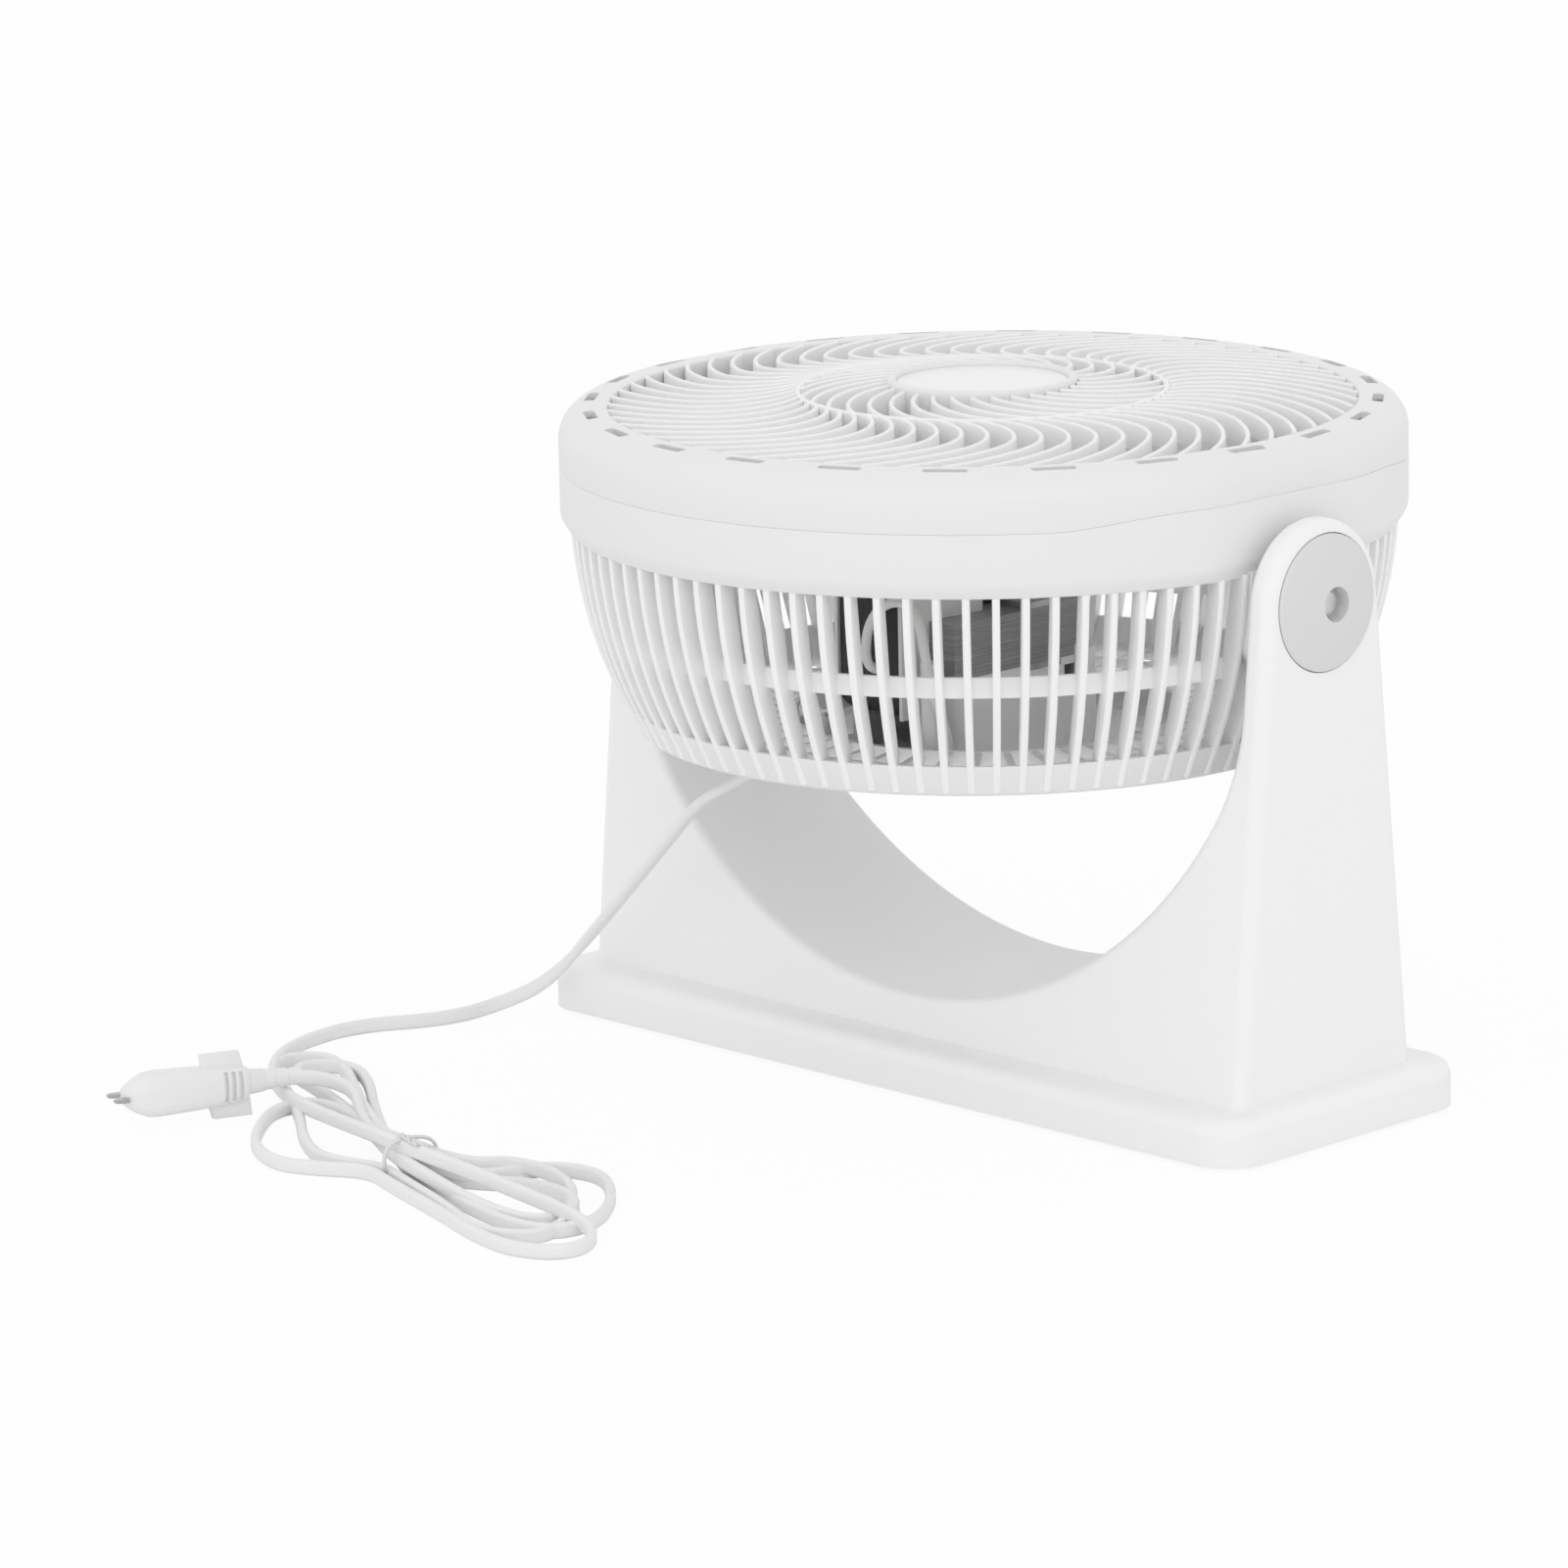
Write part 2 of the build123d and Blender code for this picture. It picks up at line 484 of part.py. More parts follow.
def back_grille():
    """The flat back: radial slats and a ring round the raised housing of the motor and switch."""
    top = BACK_H + BACK_THICKNESS
    ring = tube(BACK_RING_RADIUS + HEAD_WALL / 2, BACK_RING_RADIUS - HEAD_WALL / 2, BACK_H + 0.6, top + 2.0)
    slat = block((HOUSING_RADIUS - 1, BACK_EDGE_RADIUS - 2), (-RIB_THICKNESS / 2, RIB_THICKNESS / 2), (BACK_H, top + 1.4))
    slats = [turn * slat for turn in around(RIB_COUNT // 2, RIB_PHASE)]
    housing = turned((HOUSING_RADIUS, top + 2.0), (HOUSING_RADIUS, HOUSING_H + 5.0), (HOUSING_RADIUS - 5.0, HOUSING_H),
                     (0, HOUSING_H), (0, HOUSING_H + HEAD_WALL), (HOUSING_RADIUS - 6.0, HOUSING_H + HEAD_WALL),
                     (HOUSING_RADIUS - HEAD_WALL, HOUSING_H + 6.0), (HOUSING_RADIUS - HEAD_WALL, top + 2.0))
    return housing + [ring, *slats]


def pivot_side():
    """The pad in the side of the cage with its shoulder and spindle, on the +X side."""
    pad = block((FLAT_X - PAD_THICKNESS, FLAT_X), (-PAD_HALF_WIDTH, PAD_HALF_WIDTH), (PAD_BOTTOM_H, BAND_BOTTOM_H + 2))
    pad = fillet(pad.edges().filter_by(Axis.X).group_by(Axis.Z)[0], 9.0)
    spindle = disc(PIVOT_SHOULDER_RADIUS, FLAT_X - 1, PIVOT_SHOULDER_X)
    spindle += disc(PIVOT_RADIUS, PIVOT_SHOULDER_X - 1, PIVOT_END_X)
    return pad + Rot(Y=90) * spindle


def rear_shell():
    """The rear moulding: band, ribs, support ring, rim, back and pivots in one piece."""
    support = tube(SUPPORT_RING_RADIUS, SUPPORT_RING_RADIUS - HEAD_WALL, SUPPORT_RING_H - SUPPORT_RING_HEIGHT, SUPPORT_RING_H)
    fin = rib()
    ribs = [turn * fin for turn in around(RIB_COUNT, RIB_PHASE)]
    side = pivot_side()
    shell = shell_band() + [cage_rim(), support, back_grille(), side, mirror(side, Plane.YZ), *ribs]
    screw_hole = Rot(Y=90) * disc(PIVOT_SCREW_RADIUS, FLAT_X - 4, PIVOT_END_X + 1)
    shell -= [screw_hole, mirror(screw_hole, Plane.YZ)]
    shell -= [disc(1.6, HOUSING_H + 0.6, HOUSING_FLOOR_H, at) for at in MOUNT_SCREWS]
    return shell - disc(KNOB_COLLAR_RADIUS, KNOB_H, HOUSING_H + 5) - Pos(Z=-TILT_AXIS_HEIGHT) * cord_grip()


# ---------------------------------------------------------------- tilt pivot
def friction_washers():
    """The washers between the head's shoulders and the arms."""
    washer = tube(PIVOT_SHOULDER_RADIUS, PIVOT_RADIUS + 0.2, PIVOT_SHOULDER_X, PIVOT_SHOULDER_X + WASHER_THICKNESS)
    return on_both_arms(Rot(Y=90) * washer)


def pivot_cap():
    """The domed disc let into the outside of the +X arm, with a well for its screw."""
    bulge = (CAP_RADIUS**2 + (CAP_CENTRE_X - CAP_RIM_X) ** 2) / (2 * (CAP_CENTRE_X - CAP_RIM_X))

    def dome(radius):
        return (radius, CAP_CENTRE_X - bulge + math.sqrt(bulge**2 - radius**2))

    rim, screw_hole = CAP_RADIUS - 0.8, PIVOT_SCREW_RADIUS + 0.1
    back = Polyline(dome(rim), (CAP_RADIUS, CAP_RIM_X - 0.7), (CAP_RADIUS, CAP_BACK_X), (screw_hole, CAP_BACK_X),
                    (screw_hole, CAP_FLOOR_X), (CAP_HOLE_RADIUS, CAP_FLOOR_X), dome(CAP_HOLE_RADIUS))
    front = ThreePointArc(dome(CAP_HOLE_RADIUS), dome(CAP_RADIUS * 0.65), dome(rim))
    return Rot(Y=90) * turned_edges([back, front])


def pivot_screws():
    """The screws that hold the caps on the ends of the spindles."""
    screw = disc(PIVOT_SCREW_HEAD_RADIUS, CAP_FLOOR_X, CAP_FLOOR_X + 2.6)
    screw += disc(PIVOT_SCREW_RADIUS, FLAT_X + 1, CAP_FLOOR_X)
    return on_both_arms(Rot(Y=90) * screw)


# ---------------------------------------------------------------- motor
def mount_walls():
    """The open tub that carries the stack, cut away for the coil, the brackets and air."""
    low, high = HOUSING_FLOOR_H + MOUNT_BASE_THICKNESS, STACK_BOTTOM_H
    middle = (STACK_BACK_Y + 2 + STACK_FRONT_Y) / 2
    length = STACK_FRONT_Y - STACK_BACK_Y - 2
    outside = RectangleRounded(STACK_WIDTH, length, 8)
    inside = RectangleRounded(STACK_WIDTH - 2 * MOUNT_WALL, length - 2 * MOUNT_WALL, 6)
    walls = Pos(0, middle, low) * extrude(outside - inside, high - low)
    walls -= block((-COIL_HALF_WIDTH - 4, COIL_HALF_WIDTH + 4), (-BIG, STACK_WINDOW_FRONT_Y + 4), (low, high))
    walls -= block((-BIG, BIG), (-BRACKET_WIDTH / 2 - 0.2, BRACKET_WIDTH / 2 + 0.2), (high - BRACKET_SHEET, high))
    walls -= block((0, BIG), (11.0, 21.0), (high - 10, high - 3))
    return walls


def motor_mount():
    """The white carrier on the housing floor: base disc, tub, screw bosses and terminal posts."""
    floor = HOUSING_FLOOR_H + MOUNT_BASE_THICKNESS
    base = disc(MOUNT_BASE_RADIUS, HOUSING_FLOOR_H, floor)
    for side in (-1, 1):
        at = (side * BRACKET_SCREW_X, 0)
        base += disc(4.2, floor, STACK_BOTTOM_H - BRACKET_SHEET, at)
    base += mount_walls()
    base += disc(POST_RADIUS, floor, POST_A_TOP_H, POST_A) + disc(POST_RADIUS, floor, POST_B_TOP_H, POST_B)
    base += [disc(3.4, floor, CLAMP_H, at) for at in CLAMP_SCREWS]
    base -= Part() + [disc(1.7, HOUSING_FLOOR_H, floor, at) for at in MOUNT_SCREWS]
    base -= Part() + [disc(1.4, CLAMP_H - 8, CLAMP_H, at) for at in CLAMP_SCREWS]
    for side in (-1, 1):
        base -= disc(MOTOR_SCREW_RADIUS, -62, STACK_BOTTOM_H, (side * BRACKET_SCREW_X, 0))
    return base - Box(SWITCH_SIZE + 1, SWITCH_SIZE + 1, 2 * BIG)


def mount_screws():
    """The screws that hold the carrier to the housing floor."""
    floor = HOUSING_FLOOR_H + MOUNT_BASE_THICKNESS
    return Compound(children=[disc(3.4, floor, floor + 1.8, at) + disc(1.6, HOUSING_FLOOR_H - 1.6, floor, at)
                              for at in MOUNT_SCREWS])


def motor_stack():
    """The laminated C-shaped core with its bore, coil window and screw holes."""
    low, height = STACK_BOTTOM_H, STACK_TOP_H - STACK_BOTTOM_H
    middle = (STACK_BACK_Y + STACK_FRONT_Y) / 2
    outline = Pos(0, middle) * RectangleRounded(STACK_WIDTH, STACK_FRONT_Y - STACK_BACK_Y, 8)
    window_y = (STACK_WINDOW_BACK_Y + STACK_WINDOW_FRONT_Y) / 2
    window = Pos(0, window_y) * Rectangle(STACK_WIDTH - 2 * STACK_ARM, STACK_WINDOW_FRONT_Y - STACK_WINDOW_BACK_Y)
    holes = [Pos(side * BRACKET_SCREW_X, 0) * Circle(MOTOR_SCREW_RADIUS + 0.2) for side in (-1, 1)]
    return Pos(Z=low) * extrude(outline - window - Circle(BORE_RADIUS) - holes, height)


def coil_bobbin():
    """The plastic former on the back limb of the core: a sleeve between two flanges."""
    limb_y = (STACK_BACK_Y + STACK_WINDOW_BACK_Y) / 2
    limb_h = (STACK_TOP_H + STACK_BOTTOM_H) / 2
    depth, height = STACK_WINDOW_BACK_Y - STACK_BACK_Y, STACK_TOP_H - STACK_BOTTOM_H
    centre = Pos(0, (COIL_BACK_Y + COIL_FRONT_Y) / 2, (COIL_TOP_H + COIL_BOTTOM_H) / 2)
    flange = centre * Box(2 * COIL_HALF_WIDTH, COIL_FRONT_Y - COIL_BACK_Y, COIL_TOP_H - COIL_BOTTOM_H)
    gap = centre * Box(2 * (COIL_HALF_WIDTH - BOBBIN_FLANGE), BIG, BIG)
    sleeve = Pos(0, limb_y, limb_h) * Box(2 * COIL_HALF_WIDTH, depth + 3.2, height + 3.2)
    limb = Pos(0, limb_y, limb_h) * Box(BIG, depth + 0.2, height + 0.2)
    return (flange - gap) + sleeve - limb


def motor_coil():
    """The taped winding between the flanges of the bobbin."""
    limb_y = (STACK_BACK_Y + STACK_WINDOW_BACK_Y) / 2
    limb_h = (STACK_TOP_H + STACK_BOTTOM_H) / 2
    depth, height = STACK_WINDOW_BACK_Y - STACK_BACK_Y, STACK_TOP_H - STACK_BOTTOM_H
    width = 2 * (COIL_HALF_WIDTH - BOBBIN_FLANGE)
    centre = Pos(0, (COIL_BACK_Y + COIL_FRONT_Y) / 2, (COIL_TOP_H + COIL_BOTTOM_H) / 2)
    winding = centre * Box(width, COIL_FRONT_Y - COIL_BACK_Y - 1.4, COIL_TOP_H - COIL_BOTTOM_H - 1.4)
    winding = fillet(winding.edges().filter_by(Axis.X), 7.0)
    return winding - Pos(0, limb_y, limb_h) * Box(width + 1, depth + 3.2, height + 3.2)


def bearing_bracket():
    """A pressed bar with a bearing cup, laid on the face of the core; this way up at the front."""
    reach = BEARING_CUP_DEPTH
    bar = extrude(RectangleRounded(STACK_WIDTH, BRACKET_WIDTH, 4), BRACKET_SHEET)
    cup = disc(BEARING_CUP_RADIUS, 0, reach) - disc(BEARING_RADIUS, -1, reach - 1.6) - disc(5.0, 0, reach + 1)
    holes = [disc(MOTOR_SCREW_RADIUS + 0.2, -1, BRACKET_SHEET + 1, (side * BRACKET_SCREW_X, 0)) for side in (-1, 1)]
    return bar - disc(BEARING_RADIUS, -1, BIG) - holes + cup


def bearings():
    """The two sleeve bearings in the cups of the brackets."""
    front = STACK_TOP_H + BEARING_CUP_DEPTH - 1.6
    rear = STACK_BOTTOM_H - BEARING_CUP_DEPTH + 1.6
    return Compound(children=[tube(BEARING_RADIUS, BEARING_BORE, front - BEARING_LENGTH, front),
                              tube(BEARING_RADIUS, BEARING_BORE, rear, rear + BEARING_LENGTH)])


def motor_screws():
    """The two long screws through brackets and core into the carrier."""
    top = STACK_TOP_H + BRACKET_SHEET
    return Compound(children=[disc(3.6, top, top + 2.4, at) + disc(MOTOR_SCREW_RADIUS, -60, top, at)
                              for at in ((-BRACKET_SCREW_X, 0), (BRACKET_SCREW_X, 0))])


def lead_sleeve():
    """The sleeved coil lead that arches up beside the winding."""
    back = COIL_BACK_Y + 0.7
    line = FilletPolyline((6, back, -38), (6, -69, -38), (6, -69, -11), (30, -69, -11), (30, -69, -40),
                          (34, -55, -62), (34, -55, HOUSING_FLOOR_H + MOUNT_BASE_THICKNESS), radius=2.9)
    return sweep(Plane(line @ 0, z_dir=line % 0) * RegularPolygon(1.7, 8), path=line)


def cord_clamp():
    """The bar that holds the cord down on its two posts."""
    first, second = Vector(*CLAMP_SCREWS[0]), Vector(*CLAMP_SCREWS[1])
    run = second - first
    turn = math.degrees(math.atan2(run.Y, run.X))
    plan = SlotCenterToCenter(run.length, 6.8)
    middle = (first + second) / 2
    bar = Pos(middle.X, middle.Y, CLAMP_H) * Rot(Z=turn) * extrude(plan, 2.6)
    return bar - [disc(1.6, CLAMP_H - 1, CLAMP_H + 4, at) for at in CLAMP_SCREWS]


def clamp_screws():
    """The two bright screws of the cord clamp."""
    top = CLAMP_H + 2.6
    return Compound(children=[disc(3.0, top, top + 1.8, at) + disc(1.4, CLAMP_H - 7, top, at) for at in CLAMP_SCREWS])


def rotor_core():
    """The rotor in the bore of the core."""
    return tube(ROTOR_RADIUS, SHAFT_RADIUS, STACK_BOTTOM_H + 0.5, STACK_TOP_H - 0.5)


def motor_shaft():
    """The shaft through both bearings up to the nut of the fan."""
    shaft = disc(SHAFT_RADIUS, SHAFT_BOTTOM_H, SHAFT_TOP_H)
    return chamfer(shaft.edges().group_by(Axis.Z)[-1], 0.6)


# ---------------------------------------------------------------- fan blade
def blade_section(radius, chord, pitch, skew):
    """A thin cambered section of a blade, on the plane at `radius` along X."""
    swing = math.radians(pitch)
    along = Vector(math.cos(swing), math.sin(swing)) * chord / 2
    up = Vector(-math.sin(swing), math.cos(swing))
    middle = Vector(skew, BLADE_MID_H)
    camber = up * chord * 0.08
    skin = up * BLADE_THICKNESS
    top = ThreePointArc(middle - along + skin / 2, middle + camber + skin, middle + along + skin / 2)
    bottom = ThreePointArc(middle + along, middle + camber, middle - along)
    ends = [Line(top @ 1, bottom @ 0), Line(bottom @ 1, top @ 0)]
    return Plane.YZ.offset(radius) * make_face([top, bottom, *ends])


def fan_blade():
    """The five-bladed fan: a cup-shaped hub with twisted, skewed blades."""
    sections = [blade_section(*section) for section in BLADE_SECTIONS]
    blade = loft(sections) & disc(BLADE_TIP_RADIUS, -BIG / 2, BIG / 2)
    hub = disc(BLADE_HUB_RADIUS, BLADE_HUB_BOTTOM_H, BLADE_HUB_TOP_H)
    hub = fillet(hub.edges().group_by(Axis.Z)[-1], 4.0)
    blades = [turn * (blade - disc(BLADE_HUB_RADIUS - 1, -BIG / 2, BIG / 2)) for turn in around(BLADE_COUNT)]
    inside = disc(BLADE_HUB_RADIUS - HEAD_WALL, BLADE_HUB_BOTTOM_H - 1, BLADE_HUB_TOP_H - 3.4)
    boss = disc(9.0, 4.0, BLADE_HUB_TOP_H - 3)
    return hub - inside + boss + blades - disc(SHAFT_RADIUS, BLADE_HUB_BOTTOM_H - 1, BLADE_HUB_TOP_H + 1)


def blade_nut():
    """The cap nut that holds the fan on its shaft."""
    nut = disc(BLADE_NUT_RADIUS, BLADE_HUB_TOP_H, BLADE_HUB_TOP_H + 9)
    nut = fillet(nut.edges().group_by(Axis.Z)[-1], 3.0)
    flutes = [turn * disc(2.2, BLADE_HUB_TOP_H + 2, BIG, (BLADE_NUT_RADIUS + 1, 0)) for turn in around(6)]
    return nut - flutes - disc(SHAFT_RADIUS, BLADE_HUB_TOP_H - 1, SHAFT_TOP_H)


# ---------------------------------------------------------------- speed switch
def speed_switch():
    """The rotary switch on the housing floor, its bush through the floor."""
    half = SWITCH_SIZE / 2
    case = block((-half, half), (-half, half), (HOUSING_FLOOR_H, HOUSING_FLOOR_H + SWITCH_DEPTH))
    case = chamfer(case.edges().filter_by(Axis.Z), 2.5)
    bush = disc(KNOB_COLLAR_RADIUS, HOUSING_H, HOUSING_FLOOR_H)
    return case + bush - disc(KNOB_STEM_RADIUS + KNOB_GAP, HOUSING_H - 1, HOUSING_FLOOR_H + 10)


def speed_knob():
    """The round knob under the head, with a finger bar and a stem into the switch."""
    top = HOUSING_H - 1.0
    body = disc(KNOB_RADIUS, KNOB_H + 6, top) + disc(KNOB_RADIUS - 1.5, KNOB_H + 4.5, KNOB_H + 6)
    grip = block((-3.2, 3.2), (-KNOB_RADIUS + 1.5, KNOB_RADIUS - 1.5), (KNOB_H, KNOB_H + 5))
    grip = fillet(grip.edges().filter_by(Axis.Z), 2.8)
    return body + grip + disc(KNOB_STEM_RADIUS, top - 1, HOUSING_FLOOR_H + 9)


# ---------------------------------------------------------------- cord
def cord_grip():
    """The tapered sleeve where the cord leaves the housing."""
    cone = Cone(GRIP_RADIUS, GRIP_TIP_RADIUS, (GRIP_END - GRIP_START).length, align=UPRIGHT)
    return Plane(GRIP_START, z_dir=GRIP_AXIS) * cone


def eased(points):
    """A route through points, with an arc at each corner as wide as its shorter run allows."""
    points = [Vector(*point) for point in points]
    radii = []
    for before, corner, after in zip(points, points[1:], points[2:]):
        turn = math.radians((corner - before).get_angle(after - corner))
        run = min((corner - before).length, (after - corner).length)
        radii.append(min(0.45 * run / math.tan(turn / 2), BIG))
    print("cord arcs, mm:", [round(radius) for radius in radii])
    return FilletPolyline(*points, radius=radii)


def cord_tube(points):
    """A plain round tube along an eased route."""
    line = eased(points)
    return sweep(Plane(line @ 0, z_dir=line % 0) * Circle(CORD_WIDTH / 2), path=line)


def cord_hank():
    """The tied figure-eight of spare cord, as one closed form."""
    return extrude(make_face(Spline(*HANK_OUTLINE, periodic=True)), HANK_HEIGHT)


def cord_tie():
    """The twist tie round the waist of the hank."""
    length, width, height = TIE_SIZE
    return Pos(*TIE_PLACE) * Rot(Z=TIE_TURN) * Box(length, width, height, align=UPRIGHT) - cord_hank()


def plug_body():
    """The moulded plug on its side: tapered nose, two finger wings and a ribbed neck."""
    axis = PLUG_TAIL - PLUG_NOSE
    frame = Plane(PLUG_NOSE, x_dir=(0, 0, 1), z_dir=axis)
    def slice_at(distance, height, width, corner):
        return frame.offset(distance) * RectangleRounded(height, width, corner)
    length = axis.length
    nose = loft([slice_at(0, PLUG_HEIGHT * 0.5, PLUG_WIDTH * 0.8, 3.0), slice_at(9, PLUG_HEIGHT, PLUG_WIDTH, 4.5)])
    body = loft([slice_at(9, PLUG_HEIGHT, PLUG_WIDTH, 4.5), slice_at(length - 16, PLUG_HEIGHT - 3, PLUG_WIDTH - 2, 4.5)])
    neck = loft([slice_at(length - 16, PLUG_HEIGHT - 5, PLUG_WIDTH - 4, 4.0), slice_at(length, 8, 7, 3.0)])
    wing = frame.offset(length - 25) * extrude(Rectangle(PLUG_WING[1], PLUG_WING[2]), PLUG_WING[0])
    return nose + body + neck + wing


def plug_pins():
    """The two flat blades of the plug, which lie level beside each other."""
    axis = PLUG_TAIL - PLUG_NOSE
    frame = Plane(PLUG_NOSE, x_dir=(0, 0, 1), z_dir=axis * -1)
    length, thickness, width = PIN_SIZE
    return Compound(children=[
        frame * Pos(0, side * PIN_SPACING / 2, 0) * Box(width, thickness, length, align=UPRIGHT) for side in (-0.5, 0.5)
    ])


# ---------------------------------------------------------------- all pieces, in place
def all_pieces():
    """Every sub-component by name, where it stands."""
    swing_ball = TILT_AXIS * Sphere(SWING_RADIUS)
    cord = cord_tube(CORD_ROUTE)
    hank = cord_hank()
    cap = pivot_cap()
    rear_bracket = Pos(Z=STACK_BOTTOM_H) * Rot(X=180) * bearing_bracket()
    in_head = {
        "front_grille": front_grille(),
        "hub_badge": hub_badge(),
        "rear_shell": rear_shell(),
        "friction_washers": friction_washers(),
        "pivot_cap_right": cap,
        "pivot_cap_left": mirror(cap, Plane.YZ),
        "pivot_screws": pivot_screws(),
        "motor_mount": motor_mount(),
        "mount_screws": mount_screws(),
        "motor_stack": motor_stack(),
        "coil_bobbin": coil_bobbin(),
        "motor_coil": motor_coil(),
        "front_bearing_bracket": Pos(Z=STACK_TOP_H) * bearing_bracket(),
        "rear_bearing_bracket": rear_bracket,
        "bearings": bearings(),
        "motor_screws": motor_screws(),
        "lead_sleeve": lead_sleeve(),
        "cord_clamp": cord_clamp(),
        "clamp_screws": clamp_screws(),
        "rotor_core": rotor_core(),
        "motor_shaft": motor_shaft(),
        "fan_blade": fan_blade(),
        "blade_nut": blade_nut(),
        "speed_switch": speed_switch(),
        "speed_knob": speed_knob(),
    }
    pieces = {name: TILT_AXIS * piece for name, piece in in_head.items()}
    pieces.update({
        "stand_shell": stand_shell(),
        "base_cover": base_cover(),
        "cover_bushes": cover_bushes(),
        "base_screws": base_screws(),
        "rubber_feet": rubber_feet(),
        "cord_grip": cord_grip(),
        "cord_lead": cord & swing_ball,
        "cord_run": cord - swing_ball - hank,
        "cord_hank": hank,
        "cord_tie": cord_tie(),
        "cord_tail": cord_tube(CORD_TAIL) - hank,
        "plug_body": plug_body(),
        "plug_pins": plug_pins(),
    })
    return pieces


if __name__ == "__main__":
    os.makedirs("parts", exist_ok=True)
    for name, piece in all_pieces().items():
        export_step(piece, f"parts/{name}.step")
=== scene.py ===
"""The dressed air circulator fan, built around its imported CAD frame.

Sizes are in millimetres in the shared frame (Z up, X along the tilt axis) until a mesh is made.
Heights named h count from the tilt axis of the head.
"""

import json
import logging
import math
from dataclasses import dataclass
from enum import Enum
from functools import cache, cached_property
from typing import Callable, Iterable, Sequence

import bmesh
import bpy
import numpy as np
from mathutils import Matrix, Vector

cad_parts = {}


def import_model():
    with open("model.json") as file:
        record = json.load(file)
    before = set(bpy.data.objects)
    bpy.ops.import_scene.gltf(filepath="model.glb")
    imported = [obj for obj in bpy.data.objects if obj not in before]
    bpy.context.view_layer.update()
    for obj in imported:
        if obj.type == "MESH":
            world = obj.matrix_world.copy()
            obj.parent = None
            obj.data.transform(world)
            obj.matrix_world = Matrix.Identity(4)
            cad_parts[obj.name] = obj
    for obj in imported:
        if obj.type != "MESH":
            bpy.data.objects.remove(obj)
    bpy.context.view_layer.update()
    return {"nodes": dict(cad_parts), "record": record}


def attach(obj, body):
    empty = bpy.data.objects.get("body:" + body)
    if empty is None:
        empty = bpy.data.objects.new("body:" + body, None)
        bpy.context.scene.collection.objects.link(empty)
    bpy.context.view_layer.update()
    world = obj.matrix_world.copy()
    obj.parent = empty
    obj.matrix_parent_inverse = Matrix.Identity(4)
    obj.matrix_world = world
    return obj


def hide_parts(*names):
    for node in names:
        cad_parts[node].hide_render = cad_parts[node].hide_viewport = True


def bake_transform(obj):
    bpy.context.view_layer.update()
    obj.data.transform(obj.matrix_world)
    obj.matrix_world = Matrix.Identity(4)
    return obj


log = logging.getLogger("fan")

MM = 0.001
TWO_PI = 2 * math.pi
TILT_AXIS_Z = 200.4
FLAT_EASE = 2.4                 # half the width of the corner where a round wall meets a side flat
BUMP_STRENGTH = 0.6
IOR_PLASTIC = 1.46
ALONG_X, UP = Vector((1, 0, 0)), Vector((0, 0, 1))

Point = tuple[float, float, float]
Flat = tuple[float, float]
Piece = bpy.types.Object


class Body(Enum):
    """The CAD bodies that the pieces made here ride on."""

    STAND = "stand"
    HEAD = "head"


class Slot(Enum):
    """The record's material slots."""

    SHELL = "shell_plastic"
    CAP = "cap_plastic"
    BADGE = "badge_disc"
    BLADE = "blade_plastic"
    RUBBER = "foot_rubber"
    SCREW = "screw_steel"
    CORE = "core_steel"
    BRACKET = "bracket_metal"
    BEARING = "bearing_metal"
    TAPE = "coil_tape"
    BOBBIN = "bobbin_plastic"
    CARRIER = "carrier_plastic"
    SWITCH = "switch_plastic"
    SLEEVE = "sleeve_plastic"
    VINYL = "cord_vinyl"
    TIE = "tie_wire"
    PIN = "pin_metal"


# ---------------------------------------------------------------- node trees
class Graph:
    """Adds nodes to a tree, each with its settings, values and links in one call."""

    def __init__(self, tree: bpy.types.NodeTree) -> None:
        """Starts on a tree."""
        self.tree = tree

    def add(self, kind: str, sockets: dict | None = None, **settings: object) -> bpy.types.Node:
        """Adds one node.

        Args:
            kind: its type.
            sockets: what goes into each input, a value or the output that feeds it.
            settings: its own properties, such as operation.

        Returns:
            The node.
        """
        node = self.tree.nodes.new(kind)
        for name, value in settings.items():
            setattr(node, name, value)
        self.feed(node, sockets or {})
        return node

    def feed(self, node: bpy.types.Node, sockets: dict) -> None:
        """Sets or links inputs of a node.

        Args:
            node: the node.
            sockets: what goes into each input.
        """
        for key, value in sockets.items():
            if isinstance(value, bpy.types.NodeSocket):
                self.tree.links.new(value, node.inputs[key])
            else:
                node.inputs[key].default_value = value

    def math(self, operation: str, *values: object) -> bpy.types.NodeSocket:
        """The result of a Math node."""
        return self.add("ShaderNodeMath", dict(enumerate(values)), operation=operation).outputs[0]


def new_group(name: str, kind: str, inputs: Sequence[tuple],
              outputs: Sequence[tuple]) -> tuple[Graph, bpy.types.Node, bpy.types.Node]:
    """A node group with named sockets.

    Args:
        name: of the group.
        kind: its type of tree.
        inputs: (name, socket type) of each input, with its default where it has one.
        outputs: (name, socket type) of each output.

    Returns:
        Its graph, its input node and its output node.
    """
    tree = bpy.data.node_groups.new(name, kind)
    for way, sockets in (("INPUT", inputs), ("OUTPUT", outputs)):
        for label, form, *value in sockets:
            socket = tree.interface.new_socket(name=label, in_out=way, socket_type="NodeSocket" + form)
            if value:
                socket.default_value = value[0]
    graph = Graph(tree)
    return graph, graph.add("NodeGroupInput"), graph.add("NodeGroupOutput")


SURFACE_OUTPUTS = (("Colour", "Color"), ("Roughness", "Float"), ("Height", "Float"))


